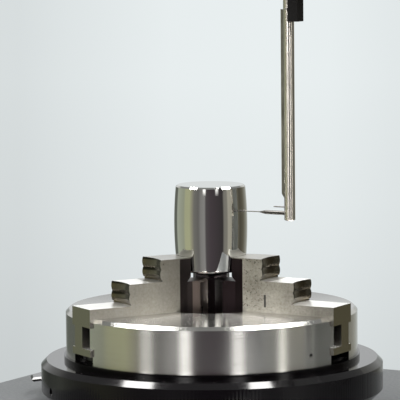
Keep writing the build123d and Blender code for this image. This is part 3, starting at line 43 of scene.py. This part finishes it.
flange_low, flange_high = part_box("scroll_flange")
spindle = Vector(((flange_low.x + flange_high.x) / 2, (flange_low.y + flange_high.y) / 2, 0))
chuck_face_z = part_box("chuck_body")[1].z
jaw_top_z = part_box("jaw_1")[1].z
tube_low, tube_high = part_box("stylus_tube")
tube_axis = Vector(((tube_low.x + tube_high.x) / 2, (tube_low.y + tube_high.y) / 2, 0))

# Camera, from the photograph: a long lens, 30 degrees round to the right of the front
view_azimuth = math.radians(30)
camera_distance = 1.295
camera_height = chuck_face_z + 0.184
camera_pitch = math.radians(6.06)
camera_yaw = math.radians(-0.203)
camera_roll = math.radians(-0.545)
lens_mm = 270
sensor_mm = 36
farthest_seen = 200

view_right = Vector((math.cos(view_azimuth), math.sin(view_azimuth), 0))
view_depth = Vector((-math.sin(view_azimuth), math.cos(view_azimuth), 0))


def seen(right, depth, height):
    """Point given as seen from the camera: right of the spindle, behind it, and above the bench."""
    return spindle + view_right * right + view_depth * depth + upwards * height


# Node helpers


def make_node(tree, kind, inputs=None, **settings):
    """Adds a shader node, sets its properties and fills or links its inputs."""
    made = tree.nodes.new(kind)
    for key, value in settings.items():
        setattr(made, key, value)
    for key, value in (inputs or {}).items():
        if isinstance(value, bpy.types.NodeSocket):
            tree.links.new(value, made.inputs[key])
        else:
            made.inputs[key].default_value = value
    return made


def math_node(tree, operation, first, second=0.0):
    return make_node(tree, "ShaderNodeMath", {0: first, 1: second}, operation=operation).outputs[0]


def vector_math(tree, operation, first, second=(0, 0, 0)):
    made = make_node(tree, "ShaderNodeVectorMath", {0: first, 1: tuple(second)}, operation=operation)
    return made.outputs["Value" if operation in ("LENGTH", "DOT_PRODUCT") else "Vector"]


def separate(tree, vector):
    return make_node(tree, "ShaderNodeSeparateXYZ", {0: vector}).outputs


def combine(tree, x, y):
    return make_node(tree, "ShaderNodeCombineXYZ", {"X": x, "Y": y}).outputs[0]


def ramp(tree, factor, stops):
    """Colour ramp from a list of (position, colour) pairs."""
    made = make_node(tree, "ShaderNodeValToRGB", {"Fac": factor})
    elements = made.color_ramp.elements
    while len(elements) > 1:
        elements.remove(elements[-1])
    elements[0].position, elements[0].color = stops[0][0], (*stops[0][1], 1)
    for position, colour in stops[1:]:
        elements.new(position).color = (*colour, 1)
    return made.outputs["Color"]


def map_range(tree, value, low, high, to_low, to_high):
    made = make_node(
        tree,
        "ShaderNodeMapRange",
        {"Value": value, "From Min": low, "From Max": high, "To Min": to_low, "To Max": to_high},
    )
    return made.outputs["Result"]


def mix_colour(tree, factor, first, second, blend_type="MIX"):
    made = make_node(tree, "ShaderNodeMix", data_type="RGBA", blend_type=blend_type)
    for socket, value in zip((made.inputs[0], made.inputs[6], made.inputs[7]), (factor, first, second)):
        if isinstance(value, bpy.types.NodeSocket):
            tree.links.new(value, socket)
        else:
            socket.default_value = value if isinstance(value, float) else (*value, 1)
    return made.outputs[2]


def noise(tree, vector, scale, detail=4.0, roughness=0.5):
    inputs = {"Vector": vector, "Scale": scale, "Detail": detail, "Roughness": roughness}
    return make_node(tree, "ShaderNodeTexNoise", inputs).outputs["Fac"]


def blend(tree, first, share, second):
    """Weighted sum of two values, share being the weight of the first."""
    return math_node(
        tree, "ADD", math_node(tree, "MULTIPLY", first, share), math_node(tree, "MULTIPLY", second, 1 - share)
    )


def place(tree, origin=(0, 0, 0), scale=(1, 1, 1)):
    """Object coordinates moved to an origin and scaled."""
    coordinates = make_node(tree, "ShaderNodeTexCoord").outputs["Object"]
    return vector_math(tree, "MULTIPLY", vector_math(tree, "SUBTRACT", coordinates, origin), scale)


def surface_normal(tree):
    return make_node(tree, "ShaderNodeTexCoord").outputs["Normal"]


def facing_up(tree):
    """1 on flat tops, 0 on walls and on chamfers."""
    return map_range(tree, separate(tree, surface_normal(tree))["Z"], 0.90, 0.96, 0.0, 1.0)


def start_material(name, roughness, metallic=0.0):
    material = bpy.data.materials.new(name)
    material.use_nodes = True
    tree = material.node_tree
    shader = tree.nodes["Principled BSDF"]
    shader.inputs["Metallic"].default_value = metallic
    shader.inputs["Roughness"].default_value = roughness
    return material, tree, shader


def bump(tree, shader, height, strength, distance):
    made = make_node(
        tree, "ShaderNodeBump", {"Height": height, "Strength": strength, "Distance": distance}
    )
    tree.links.new(made.outputs["Normal"], shader.inputs["Normal"])


# Materials

noise_low, noise_high = 0.3, 0.7
knurl_bump = 0.00005
smooth_skin = 0.000003


def vary_roughness(tree, shader, value, least, most):
    """Lets the roughness follow a noise, between two roughnesses."""
    varied = map_range(tree, value, noise_low, noise_high, least, most)
    tree.links.new(varied, shader.inputs["Roughness"])


def paint(tree, shader, value, dark, light):
    """Lets the colour follow a noise, from dark to light."""
    tree.links.new(ramp(tree, value, [(noise_low, dark), (noise_high, light)]), shader.inputs["Base Color"])


def turned_metal(name, dark, light, roughness, centre, rings=2200, face=None):
    """Metal with fine turning lines round an upright axis; face is the tone and roughness of its flat top,
    whose darker tone is painted shade.
    """
    material, tree, shader = start_material(name, roughness, metallic=1.0)
    offset = place(tree, centre)
    parts = separate(tree, offset)
    radius = vector_math(tree, "LENGTH", combine(tree, parts["X"], parts["Y"]))
    lines = noise(tree, combine(tree, radius, parts["Z"]), rings, detail=3.0, roughness=0.6)
    cloud = noise(tree, offset, 25, detail=3.0)
    colour = ramp(tree, blend(tree, lines, 0.6, cloud), [(0.35, dark), (0.65, light)])
    polish = map_range(tree, lines, noise_low, noise_high, roughness * 0.95, roughness * 1.05)
    # The flat top gets its own, darker tone: painted shade.
    if face:
        top_painted_shade, face_roughness = face
        upward = facing_up(tree)
        colour = mix_colour(tree, upward, colour, top_painted_shade)
        polish = map_range(tree, upward, 0.0, 1.0, polish, face_roughness)
    tree.links.new(colour, shader.inputs["Base Color"])
    tree.links.new(polish, shader.inputs["Roughness"])
    shader.inputs["Anisotropic"].default_value = 1.0
    shader.inputs["Anisotropic Rotation"].default_value = 0.25
    tangent = make_node(tree, "ShaderNodeTangent", direction_type="RADIAL", axis="Z")
    tree.links.new(tangent.outputs[0], shader.inputs["Tangent"])
    return material


def ground_metal(name, dark, light, roughness, grain=900, grain_depth=0.00002):
    """Ground steel: fine speckled grain with soft stains."""
    material, tree, shader = start_material(name, roughness, metallic=1.0)
    offset = place(tree)
    speckle = noise(tree, offset, grain, detail=6.0, roughness=0.7)
    cloud = noise(tree, offset, 60, detail=4.0, roughness=0.6)
    tone = blend(tree, speckle, 0.55, cloud)
    tree.links.new(ramp(tree, tone, [(0.38, dark), (0.62, light)]), shader.inputs["Base Color"])
    vary_roughness(tree, shader, cloud, roughness * 0.8, roughness * 1.25)
    bump(tree, shader, speckle, 0.3, grain_depth)
    return material


# Zones of a jaw: the distances from the spindle, in millimetres, between which one tone turns into the next
nose_tip_edge = (15.0, 15.3)
nose_edge = (21.5, 21.7)
inner_shade_fade = (22, 34)
pits_fade = (24, 36)
top_edge = (33, 34)
outer_shade_fade = (38, 56)
pocket_edge = (55, 56)
end_face_edge = (63.2, 63.6)

# Flat step tops: near white on the outer step, a painted highlight, and duller on the inner one.
inner_top = (0.45, 0.44, 0.41)
outer_top_painted_highlight = (0.97, 0.96, 0.93)
# Risers painted dark and the pocket almost black: painted shade.
riser_painted_shade = (0.16, 0.14, 0.105)
pocket_painted_shade = (0.02, 0.018, 0.016)
jaw_pits = (0.05, 0.045, 0.04)
riser_roughness = 0.17


def jaw_metal(
    name, dark, light, nose, end_face, roughness, nose_tip=None, inner_shade=1.0, outer_shade=1.0, specks=0.0
):
    """Ground steel of the jaws, with painted light and shade: bright outer step tops, dark nose, risers and
    outer end.

    nose_tip is the tone of the nose under the roller, painted light. The shades are painted shade that
    darkens the sides near the nose and towards the outer end, and specks is the strength of the dark pits
    near the nose.
    """
    material = ground_metal(name, dark, light, roughness)
    tree = material.node_tree
    shader = tree.nodes["Principled BSDF"]
    ground = shader.inputs["Base Color"].links[0].from_socket
    ground_roughness = shader.inputs["Roughness"].links[0].from_socket
    parts = separate(tree, place(tree, spindle))
    flat = combine(tree, parts["X"], parts["Y"])
    radius = vector_math(tree, "LENGTH", flat)
    outwards = vector_math(tree, "NORMALIZE", flat)

    def fade(zone, first, last):
        return map_range(tree, radius, zone[0] * mm, zone[1] * mm, first, last)

    def by_radius(zone, first, second):
        return mix_colour(tree, fade(zone, 0.0, 1.0), first, second)

    # Painted shade: the sides darken near the nose and towards the outer end.
    shade = by_radius(inner_shade_fade, (inner_shade,) * 3, (1.0, 1.0, 1.0))
    shade = by_radius(outer_shade_fade, shade, (outer_shade,) * 3)
    side = mix_colour(tree, 1.0, ground, shade, "MULTIPLY")
    if specks:
        pits = map_range(tree, noise(tree, place(tree), 1300, detail=2.0), 0.60, 0.66, 0.0, specks)
        pitted = math_node(tree, "MULTIPLY", pits, fade(pits_fade, 1.0, 0.15))
        side = mix_colour(tree, pitted, side, jaw_pits)
    # Faces looking outwards: risers painted dark and the pocket almost black, painted shade.
    faced = by_radius(pocket_edge, riser_painted_shade, pocket_painted_shade)
    # The outer end face gets its own tone for each jaw: painted light and shade.
    faced = by_radius(end_face_edge, faced, end_face)
    turned_outwards = make_node(
        tree, "ShaderNodeVectorMath", {0: surface_normal(tree), 1: outwards}, operation="DOT_PRODUCT"
    ).outputs["Value"]
    looks_out = map_range(tree, turned_outwards, 0.70, 0.80, 0.0, 1.0)
    steel = mix_colour(tree, looks_out, side, faced)
    polish = map_range(tree, looks_out, 0.0, 1.0, ground_roughness, riser_roughness)
    tree.links.new(polish, shader.inputs["Roughness"])
    # Painted highlight: the flat step tops take their own tones, near white on the outer step.
    steel = mix_colour(tree, facing_up(tree), steel, by_radius(top_edge, inner_top, outer_top_painted_highlight))
    # Painted shade: the nose below the top is painted dark.
    below_top = map_range(tree, parts["Z"], jaw_top_z - 0.5 * mm, jaw_top_z - 0.3 * mm, 1.0, 0.0)
    painted_nose_shade = math_node(tree, "MULTIPLY", fade(nose_edge, 1.0, 0.0), below_top)
    # Painted light on the nose tip under the roller.
    if nose_tip:
        nose = by_radius(nose_tip_edge, nose_tip, nose)
    tree.links.new(mix_colour(tree, painted_nose_shade, steel, nose), shader.inputs["Base Color"])
    return material


def mirror_metal(name, colour, roughness):
    """Polished metal with a faint haze and hairline polishing marks."""
    material, tree, shader = start_material(name, roughness, metallic=1.0)
    haze = noise(tree, place(tree, spindle), 40, detail=3.0)
    paint(tree, shader, haze, tuple(part * 0.95 for part in colour), colour)
    vary_roughness(tree, shader, haze, roughness * 0.7, roughness * 1.4)
    hairlines = noise(tree, place(tree, spindle, (1, 1, 40)), 300, detail=2.0)
    bump(tree, shader, hairlines, 0.05, 0.000005)
    return material


def enamel(name, dark, light, roughness, grain=700, depth=0.00008, ribs=0):
    """Sprayed enamel with a fine orange-peel skin; ribs is the number of knurl lines round its wall."""
    material, tree, shader = start_material(name, roughness)
    offset = place(tree)
    peel = noise(tree, offset, grain, detail=3.0, roughness=0.55)
    paint(tree, shader, noise(tree, offset, 12, detail=3.0), dark, light)
    vary_roughness(tree, shader, peel, roughness * 0.85, roughness * 1.15)
    if not ribs:
        bump(tree, shader, peel, 0.25, depth)
        return material
    parts = separate(tree, place(tree, spindle))
    turn = math_node(tree, "ARCTAN2", parts["Y"], parts["X"])
    wave = math_node(tree, "SINE", math_node(tree, "MULTIPLY", turn, float(ribs)))
    on_wall = map_range(tree, separate(tree, surface_normal(tree))["Z"], 0.1, 0.3, 1.0, 0.0)
    bump(tree, shader, math_node(tree, "MULTIPLY", wave, on_wall), 0.35, knurl_bump)
    tree.links.new(map_range(tree, on_wall, 0.0, 1.0, 0.5, 0.25), shader.inputs["Specular IOR Level"])
    return material


def moulded(name, dark, light, roughness, grain=1600, depth=0.00004):
    """Moulded plastic or rubber with a fine spark-eroded texture."""
    material, tree, shader = start_material(name, roughness)
    pits = noise(tree, place(tree), grain, detail=4.0, roughness=0.65)
    paint(tree, shader, pits, dark, light)
    vary_roughness(tree, shader, pits, roughness * 0.85, roughness * 1.1)
    bump(tree, shader, pits, 0.35, depth)
    return material


oxide_dark, oxide_light = (0.004, 0.0032, 0.0042), (0.006, 0.0048, 0.006)
jaw_dark, jaw_light = (0.33, 0.31, 0.27), (0.53, 0.51, 0.46)
# Tone of the jaws' outer end faces, set per jaw: painted light and shade.
jaw_end = (0.25, 0.235, 0.175)

grey_enamel = enamel("grey_enamel", (0.145, 0.157, 0.166), (0.166, 0.177, 0.187), 0.42)
black_oxide = enamel("black_oxide", oxide_dark, oxide_light, 0.10, grain=1500, depth=smooth_skin)
table_black = enamel("table_black", oxide_dark, oxide_light, 0.10, grain=1500, ribs=300)
flange_black = enamel(
    "flange_black", (0.002, 0.0016, 0.002), (0.003, 0.0025, 0.003), 0.16, grain=1500, depth=smooth_skin
)
pale_enamel = enamel("pale_enamel", (0.30, 0.305, 0.29), (0.33, 0.335, 0.32), 0.38)
# The chuck's flat top is painted darker than its turned wall: painted shade.
chuck_steel = turned_metal(
    "chuck_steel", (0.63, 0.62, 0.59), (0.69, 0.68, 0.65), 0.18, spindle, face=((0.36, 0.35, 0.335), 0.20)
)
# Three lit and shaded copies of one jaw steel: their different tones of sides, nose and outer end, and their
# shade factors, are painted light and shade.
left_jaw_steel = jaw_metal(
    "left_jaw_steel", (0.30, 0.285, 0.25), (0.40, 0.385, 0.35), (0.05, 0.042, 0.042), jaw_end, 0.32,
    nose_tip=(0.21, 0.17, 0.155), inner_shade=0.70, outer_shade=0.75,
)
right_jaw_steel = jaw_metal(
    "right_jaw_steel", jaw_dark, jaw_light, (0.035, 0.025, 0.028), (0.46, 0.44, 0.34), 0.34,
    outer_shade=0.45, specks=0.8,
)
rear_jaw_steel = jaw_metal("rear_jaw_steel", jaw_dark, jaw_light, (0.03, 0.022, 0.024), jaw_end, 0.34)
rail_steel = ground_metal("rail_steel", (0.58, 0.58, 0.57), (0.65, 0.65, 0.64), 0.25, grain_depth=0.000004)
plain_steel = ground_metal("plain_steel", (0.42, 0.42, 0.42), (0.58, 0.58, 0.58), 0.35)
roller_chrome = mirror_metal("roller_chrome", (0.80, 0.80, 0.77), 0.03)
tube_steel = turned_metal("tube_steel", (0.70, 0.66, 0.60), (0.76, 0.72, 0.66), 0.20, tube_axis, rings=60)
blade_steel = ground_metal("blade_steel", (0.16, 0.155, 0.13), (0.24, 0.235, 0.20), 0.35)
stylus_steel = mirror_metal("stylus_steel", (0.09, 0.085, 0.08), 0.15)
black_iron = enamel("black_iron", (0.012, 0.012, 0.013), (0.020, 0.020, 0.021), 0.35)
satin_alloy = ground_metal("satin_alloy", (0.62, 0.62, 0.63), (0.74, 0.74, 0.75), 0.38, grain=1500)
black_plastic = moulded("black_plastic", (0.005, 0.004, 0.004), (0.009, 0.008, 0.008), 0.55)
green_plastic = moulded("green_plastic", (0.02, 0.16, 0.06), (0.03, 0.20, 0.08), 0.3)
red_plastic = moulded("red_plastic", (0.34, 0.012, 0.010), (0.42, 0.018, 0.015), 0.3)
board_green = moulded("board_green", (0.01, 0.09, 0.04), (0.015, 0.12, 0.05), 0.4)
black_rubber = moulded(
    "black_rubber", (0.012, 0.012, 0.012), (0.022, 0.022, 0.022), 0.75, grain=900, depth=0.0001
)
for dull_black, specular in ((flange_black, 0.2), (black_plastic, 0.15)):
    dull_black.node_tree.nodes["Principled BSDF"].inputs["Specular IOR Level"].default_value = specular

finishes = {
    grey_enamel: ["base_housing"],
    pale_enamel: ["column", "carriage"],
    table_black: ["turntable"],
    black_oxide: ["lock_lever", "centring_screws", "chuck_lock_screw", "direction_lever"],
    flange_black: ["scroll_flange"],
    chuck_steel: ["chuck_body"],
    left_jaw_steel: ["jaw_3"],
    right_jaw_steel: ["jaw_1"],
    rear_jaw_steel: ["jaw_2"],
    rail_steel: ["guide_rail", "arm", "spindle"],
    plain_steel: [
        "base_plate", "plate_screws", "bearing_sleeve", "sleeve_screws", "thrust_plate", "motor_posts",
        "table_bolts", "retaining_plate", "retaining_screws", "lock_boss", "column_bolts", "lift_rack",
        "lift_pinion", "stylus_pivot", "signal_socket",
    ],
    roller_chrome: ["roller"],
    tube_steel: ["stylus_tube"],
    blade_steel: ["tube_blade"],
    stylus_steel: ["stylus"],
    black_iron: ["motor", "arm_head", "swivel_bracket"],
    satin_alloy: ["spindle_pulley", "encoder_disc", "motor_bracket", "motor_pulley", "detector_housing"],
    black_plastic: [
        "encoder_reader", "column_cap", "lift_knob", "arm_clamp", "carriage_clamp", "swivel_knob",
        "tube_holder", "power_inlet", "power_switch",
    ],
    green_plastic: ["start_button"],
    red_plastic: ["stop_button"],
    board_green: ["circuit_board"],
    black_rubber: ["front_left_foot", "front_right_foot", "rear_left_foot", "rear_right_foot", "drive_belt"],
}


def finish_node(name, material):
    """Gives a carried-over node its material."""
    slots = nodes[name].data.materials
    slots.clear()
    slots.append(material)


for material, names in finishes.items():
    for name in names:
        finish_node(name, material)


# Jaw numbers, stamped on the same side of each jaw

jaw_half_width = 8 * mm
numeral_size = 7.5 * mm
numeral_depth = 0.03 * mm
numeral_weight = 0.12 * mm
numeral_gap = 0.01 * mm
numeral_radius = 31 * mm
numeral_rise = 4.8 * mm
stamped = moulded("stamped", (0.012, 0.010, 0.010), (0.05, 0.045, 0.04), 0.6)


def stamp_number(jaw_number, turn_degrees):
    """Thin dark numeral on a jaw's side face, low down between its steps."""
    along = Vector((math.cos(math.radians(turn_degrees)), math.sin(math.radians(turn_degrees)), 0))
    face = along.cross(upwards)
    data = bpy.data.curves.new(f"numeral_{jaw_number}", "FONT")
    data.body = str(jaw_number)
    data.size = numeral_size
    data.extrude = numeral_depth
    data.offset = numeral_weight
    data.align_x = "CENTER"
    data.align_y = "CENTER"
    writing = bpy.data.objects.new(f"numeral_{jaw_number}", data)
    bpy.context.scene.collection.objects.link(writing)
    bpy.context.view_layer.update()
    mesh = bpy.data.meshes.new_from_object(writing.evaluated_get(bpy.context.evaluated_depsgraph_get()))
    bpy.data.objects.remove(writing)
    turn = Matrix((upwards.cross(face), upwards, face)).transposed().to_4x4()
    centre = spindle + along * numeral_radius + face * (jaw_half_width + numeral_gap)
    centre += upwards * (chuck_face_z + numeral_rise)
    mesh.transform(Matrix.Translation(centre) @ turn)
    piece = bpy.data.objects.new(f"jaw_number_{jaw_number}", mesh)
    bpy.context.scene.collection.objects.link(piece)
    mesh.materials.append(stamped)
    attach(piece, f"jaw_{jaw_number}")


for jaw_number, turn_degrees in ((1, 0), (2, 120), (3, 240)):
    stamp_number(jaw_number, turn_degrees)


# Stage: pale floor, room light and two ceiling strips

backdrop = (0.815, 0.865, 0.872)
near_share = 0.34
floor_radius = 25
floor_sides = 96
paper_ends, backdrop_starts = 0.35, 0.80

# Painted shade on the glowing backdrop, as the share of its tone: across the view, by the sideways place over
# the distance from the camera, and outwards, by the distance from the middle of the base in metres
across_span = (-0.1, 0.1)
across_tones = [
    (-0.063, 0.84), (-0.047, 0.895), (-0.027, 0.95), (-0.013, 0.985), (0.02, 1.0), (0.04, 0.99), (0.063, 0.93)
]
outwards_span = (0.0, 4.0)
outwards_tones = [
    (0.6, 0.78), (0.8, 0.85), (1.06, 0.89), (1.32, 0.92), (1.8, 0.955), (2.4, 0.97), (3.7, 1.0)
]


def make_floor():
    """Large pale disc: paper with shade near the object, a glowing backdrop farther out, darkened by painted
    shade towards the object and to the sides, most on the left.
    """
    mesh = bpy.data.meshes.new("floor")
    angles = [2 * math.pi * side / floor_sides for side in range(floor_sides)]
    ring = [(floor_radius * math.cos(angle), floor_radius * math.sin(angle), 0) for angle in angles]
    mesh.from_pydata(ring, [], [tuple(range(floor_sides))])
    floor = bpy.data.objects.new("floor", mesh)
    bpy.context.scene.collection.objects.link(floor)
    material, tree, shader = start_material("floor_paper", 0.9)
    offset = place(tree)
    distance = vector_math(tree, "LENGTH", offset)
    plain = map_range(tree, distance, paper_ends, backdrop_starts, 0.0, 1.0)
    grain = noise(tree, offset, 3.0, detail=2.0)
    paper = ramp(tree, grain, [(0.3, (0.48, 0.51, 0.515)), (0.7, (0.49, 0.52, 0.525))])
    tree.links.new(mix_colour(tree, plain, paper, (0.0, 0.0, 0.0)), shader.inputs["Base Color"])
    sideways = vector_math(tree, "DOT_PRODUCT", place(tree, spindle), view_right)
    spread = math_node(tree, "DIVIDE", sideways, math_node(tree, "ADD", distance, camera_distance))
    # Painted shade: the glow darkens towards the object and to the sides, most on the left.
    lit = backdrop
    for value, span, tones in (
        (spread, across_span, across_tones),
        (distance, outwards_span, outwards_tones),
    ):
        low, high = span
        stops = [((at - low) / (high - low), (tone, tone, tone)) for at, tone in tones]
        shade = ramp(tree, map_range(tree, value, low, high, 0.0, 1.0), stops)
        lit = mix_colour(tree, 1.0, lit, shade, "MULTIPLY")
    near = tuple(near_share * part for part in backdrop)
    tree.links.new(mix_colour(tree, plain, near, lit), shader.inputs["Emission Color"])
    shader.inputs["Specular IOR Level"].default_value = 0.0
    shader.inputs["Emission Strength"].default_value = 1.0
    mesh.materials.append(material)
    floor.visible_glossy = False


# Tones of the room by the direction in degrees: 0 is where the camera stands, 90 is to its right, and 180 is
# beyond the object. The low walls reach a little above the horizon. The high walls stand over them, with
# bright windows between the left and the right part.
low_walls = [
    (-180, (0.62, 0.66, 0.66)),
    (-162, (0.13, 0.14, 0.12)),
    (-136, (0.13, 0.14, 0.12)),
    (-130, (0.40, 0.43, 0.36)),
    (-96, (0.33, 0.35, 0.27)),
    (-89, (0.42, 0.43, 0.28)),
    (-72, (0.43, 0.44, 0.28)),
    (-62, (0.30, 0.29, 0.22)),
    (-55, (0.19, 0.185, 0.17)),
    (-40, (0.15, 0.145, 0.14)),
    (-32, (0.24, 0.235, 0.23)),
    (-20, (0.28, 0.275, 0.27)),
    (-15, (0.09, 0.08, 0.085)),
    (0, (0.07, 0.057, 0.065)),
    (38, (0.045, 0.04, 0.042)),
    (43, (0.22, 0.21, 0.19)),
    (53, (0.24, 0.23, 0.20)),
    (57, (0.42, 0.40, 0.34)),
    (75, (0.36, 0.345, 0.285)),
    (79, (0.15, 0.14, 0.11)),
    (90, (0.18, 0.17, 0.13)),
    (106, (0.08, 0.073, 0.055)),
    (125, (0.13, 0.12, 0.09)),
    (150, (0.32, 0.32, 0.28)),
    (180, (0.62, 0.66, 0.66)),
]
high_walls_left = [
    (-180, (0.95, 0.97, 0.98)),
    (-140, (0.50, 0.50, 0.48)),
    (-124, (0.05, 0.055, 0.04)),
    (-92, (0.06, 0.065, 0.05)),
    (-64, (0.16, 0.155, 0.10)),
]
windows = [
    (-58, -48, (7.0, 6.95, 6.7)),
    (-25, -16.5, (12.5, 12.4, 12.2)),
    (16, 25, (9.0, 8.9, 8.8)),
    (54, 60, (9.0, 8.9, 8.4)),
    (80, 88, (9.0, 8.9, 8.2)),
]
high_walls_right = [
    (98, (0.08, 0.075, 0.06)),
    (120, (0.06, 0.055, 0.045)),
    (142, (0.50, 0.50, 0.46)),
    (180, (0.95, 0.97, 0.98)),
]
window_edge = 2.0
between_windows = (0.03, 0.027, 0.025)
room_ceiling = (0.26, 0.265, 0.26)
room_ground = (0.30, 0.31, 0.31)


def make_world():
    """Room seen in the metal: walls in tones round the compass, pale ceiling and pale ground."""
    world = bpy.data.worlds.new("room")
    world.use_nodes = True
    bpy.context.scene.world = world
    tree = world.node_tree
    tree.nodes.clear()
    direction = make_node(tree, "ShaderNodeTexCoord").outputs["Generated"]

    def along(axis):
        return vector_math(tree, "DOT_PRODUCT", direction, axis)

    turn = math_node(tree, "ARCTAN2", along(view_right), along(-view_depth))
    compass = math_node(tree, "MULTIPLY_ADD", turn, 1 / (2 * math.pi))
    compass.node.inputs[2].default_value = 0.5

    def round_the_room(tones):
        return ramp(tree, compass, [(angle / 360 + 0.5, tone) for angle, tone in tones])

    high_walls = list(high_walls_left)
    for left, right, glow in windows:
        high_walls += [
            (left - window_edge, between_windows),
            (left + window_edge, glow),
            (right - window_edge, glow),
            (right + window_edge, between_windows),
        ]
    high_walls += high_walls_right

    rise = along(upwards)
    above_low = map_range(tree, rise, 0.06, 0.16, 0.0, 1.0)
    room = mix_colour(tree, above_low, round_the_room(low_walls), round_the_room(high_walls))
    room = mix_colour(tree, map_range(tree, rise, 0.42, 0.52, 0.0, 1.0), room, room_ceiling)
    room = mix_colour(tree, map_range(tree, rise, -0.34, -0.60, 0.0, 1.0), room, room_ground)
    lit = make_node(tree, "ShaderNodeBackground", {"Color": room, "Strength": 1.0})
    plain = make_node(tree, "ShaderNodeBackground", {"Color": (*backdrop, 1), "Strength": 1.0})
    for_camera = make_node(tree, "ShaderNodeLightPath").outputs["Is Camera Ray"]
    shown = make_node(tree, "ShaderNodeMixShader", {0: for_camera, 1: lit.outputs[0], 2: plain.outputs[0]})
    make_node(tree, "ShaderNodeOutputWorld", {"Surface": shown.outputs[0]})


ceiling_height = 2.2
strip_front, strip_back = -2.6, 1.4
strip_shade = 2.4
strip_glow = 24


def make_strip(name, right_from, right_to):
    """Ceiling strip running away from the camera: an area light for shade and a panel for highlights."""
    width, length = right_to - right_from, strip_back - strip_front
    light = bpy.data.lights.new(name, "AREA")
    light.shape = "RECTANGLE"
    light.size, light.size_y = width, length
    light.energy = strip_shade * math.pi * width * length
    light.color = (1.0, 0.99, 0.97)
    lamp = bpy.data.objects.new(name, light)
    lamp.location = seen((right_from + right_to) / 2, (strip_front + strip_back) / 2, ceiling_height)
    lamp.rotation_euler = (0, 0, view_azimuth)
    lamp.visible_glossy = False
    bpy.context.scene.collection.objects.link(lamp)

    corners = [
        (right_from, strip_front), (right_to, strip_front), (right_to, strip_back), (right_from, strip_back)
    ]
    mesh = bpy.data.meshes.new(name + "_panel")
    mesh.from_pydata([seen(right, depth, ceiling_height) for right, depth in corners], [], [(0, 1, 2, 3)])
    panel = bpy.data.objects.new(name + "_panel", mesh)
    bpy.context.scene.collection.objects.link(panel)
    material, tree, shader = start_material(name + "_glow", 1.0)
    cloud = noise(tree, place(tree), 4.0)
    frosting = ramp(tree, cloud, [(0.3, (0.98, 0.97, 0.95)), (0.7, (1.0, 0.99, 0.97))])
    shader.inputs["Base Color"].default_value = (0, 0, 0, 1)
    tree.links.new(frosting, shader.inputs["Emission Color"])
    shader.inputs["Emission Strength"].default_value = strip_glow
    mesh.materials.append(material)
    panel.visible_camera = False
    panel.visible_diffuse = False
    panel.visible_shadow = False


def make_camera():
    data = bpy.data.cameras.new("camera")
    data.lens = lens_mm
    data.sensor_width = sensor_mm
    data.clip_end = farthest_seen
    camera = bpy.data.objects.new("camera", data)
    bpy.context.scene.collection.objects.link(camera)
    level_right = view_right * math.cos(camera_yaw) - view_depth * math.sin(camera_yaw)
    level_ahead = view_right * math.sin(camera_yaw) + view_depth * math.cos(camera_yaw)
    ahead = level_ahead * math.cos(camera_pitch) - upwards * math.sin(camera_pitch)
    above = level_right.cross(ahead)
    right = level_right * math.cos(camera_roll) + above * math.sin(camera_roll)
    up = above * math.cos(camera_roll) - level_right * math.sin(camera_roll)
    turn = Matrix((right, up, -ahead)).transposed()
    camera.matrix_world = Matrix.Translation(seen(0, -camera_distance, camera_height)) @ turn.to_4x4()
    bpy.context.scene.camera = camera


make_floor()
make_world()
make_strip("left_strip", -1.365, -0.89)
make_strip("right_strip", 0.55, 1.30)
make_camera()
bpy.context.scene.view_settings.view_transform = "Standard"
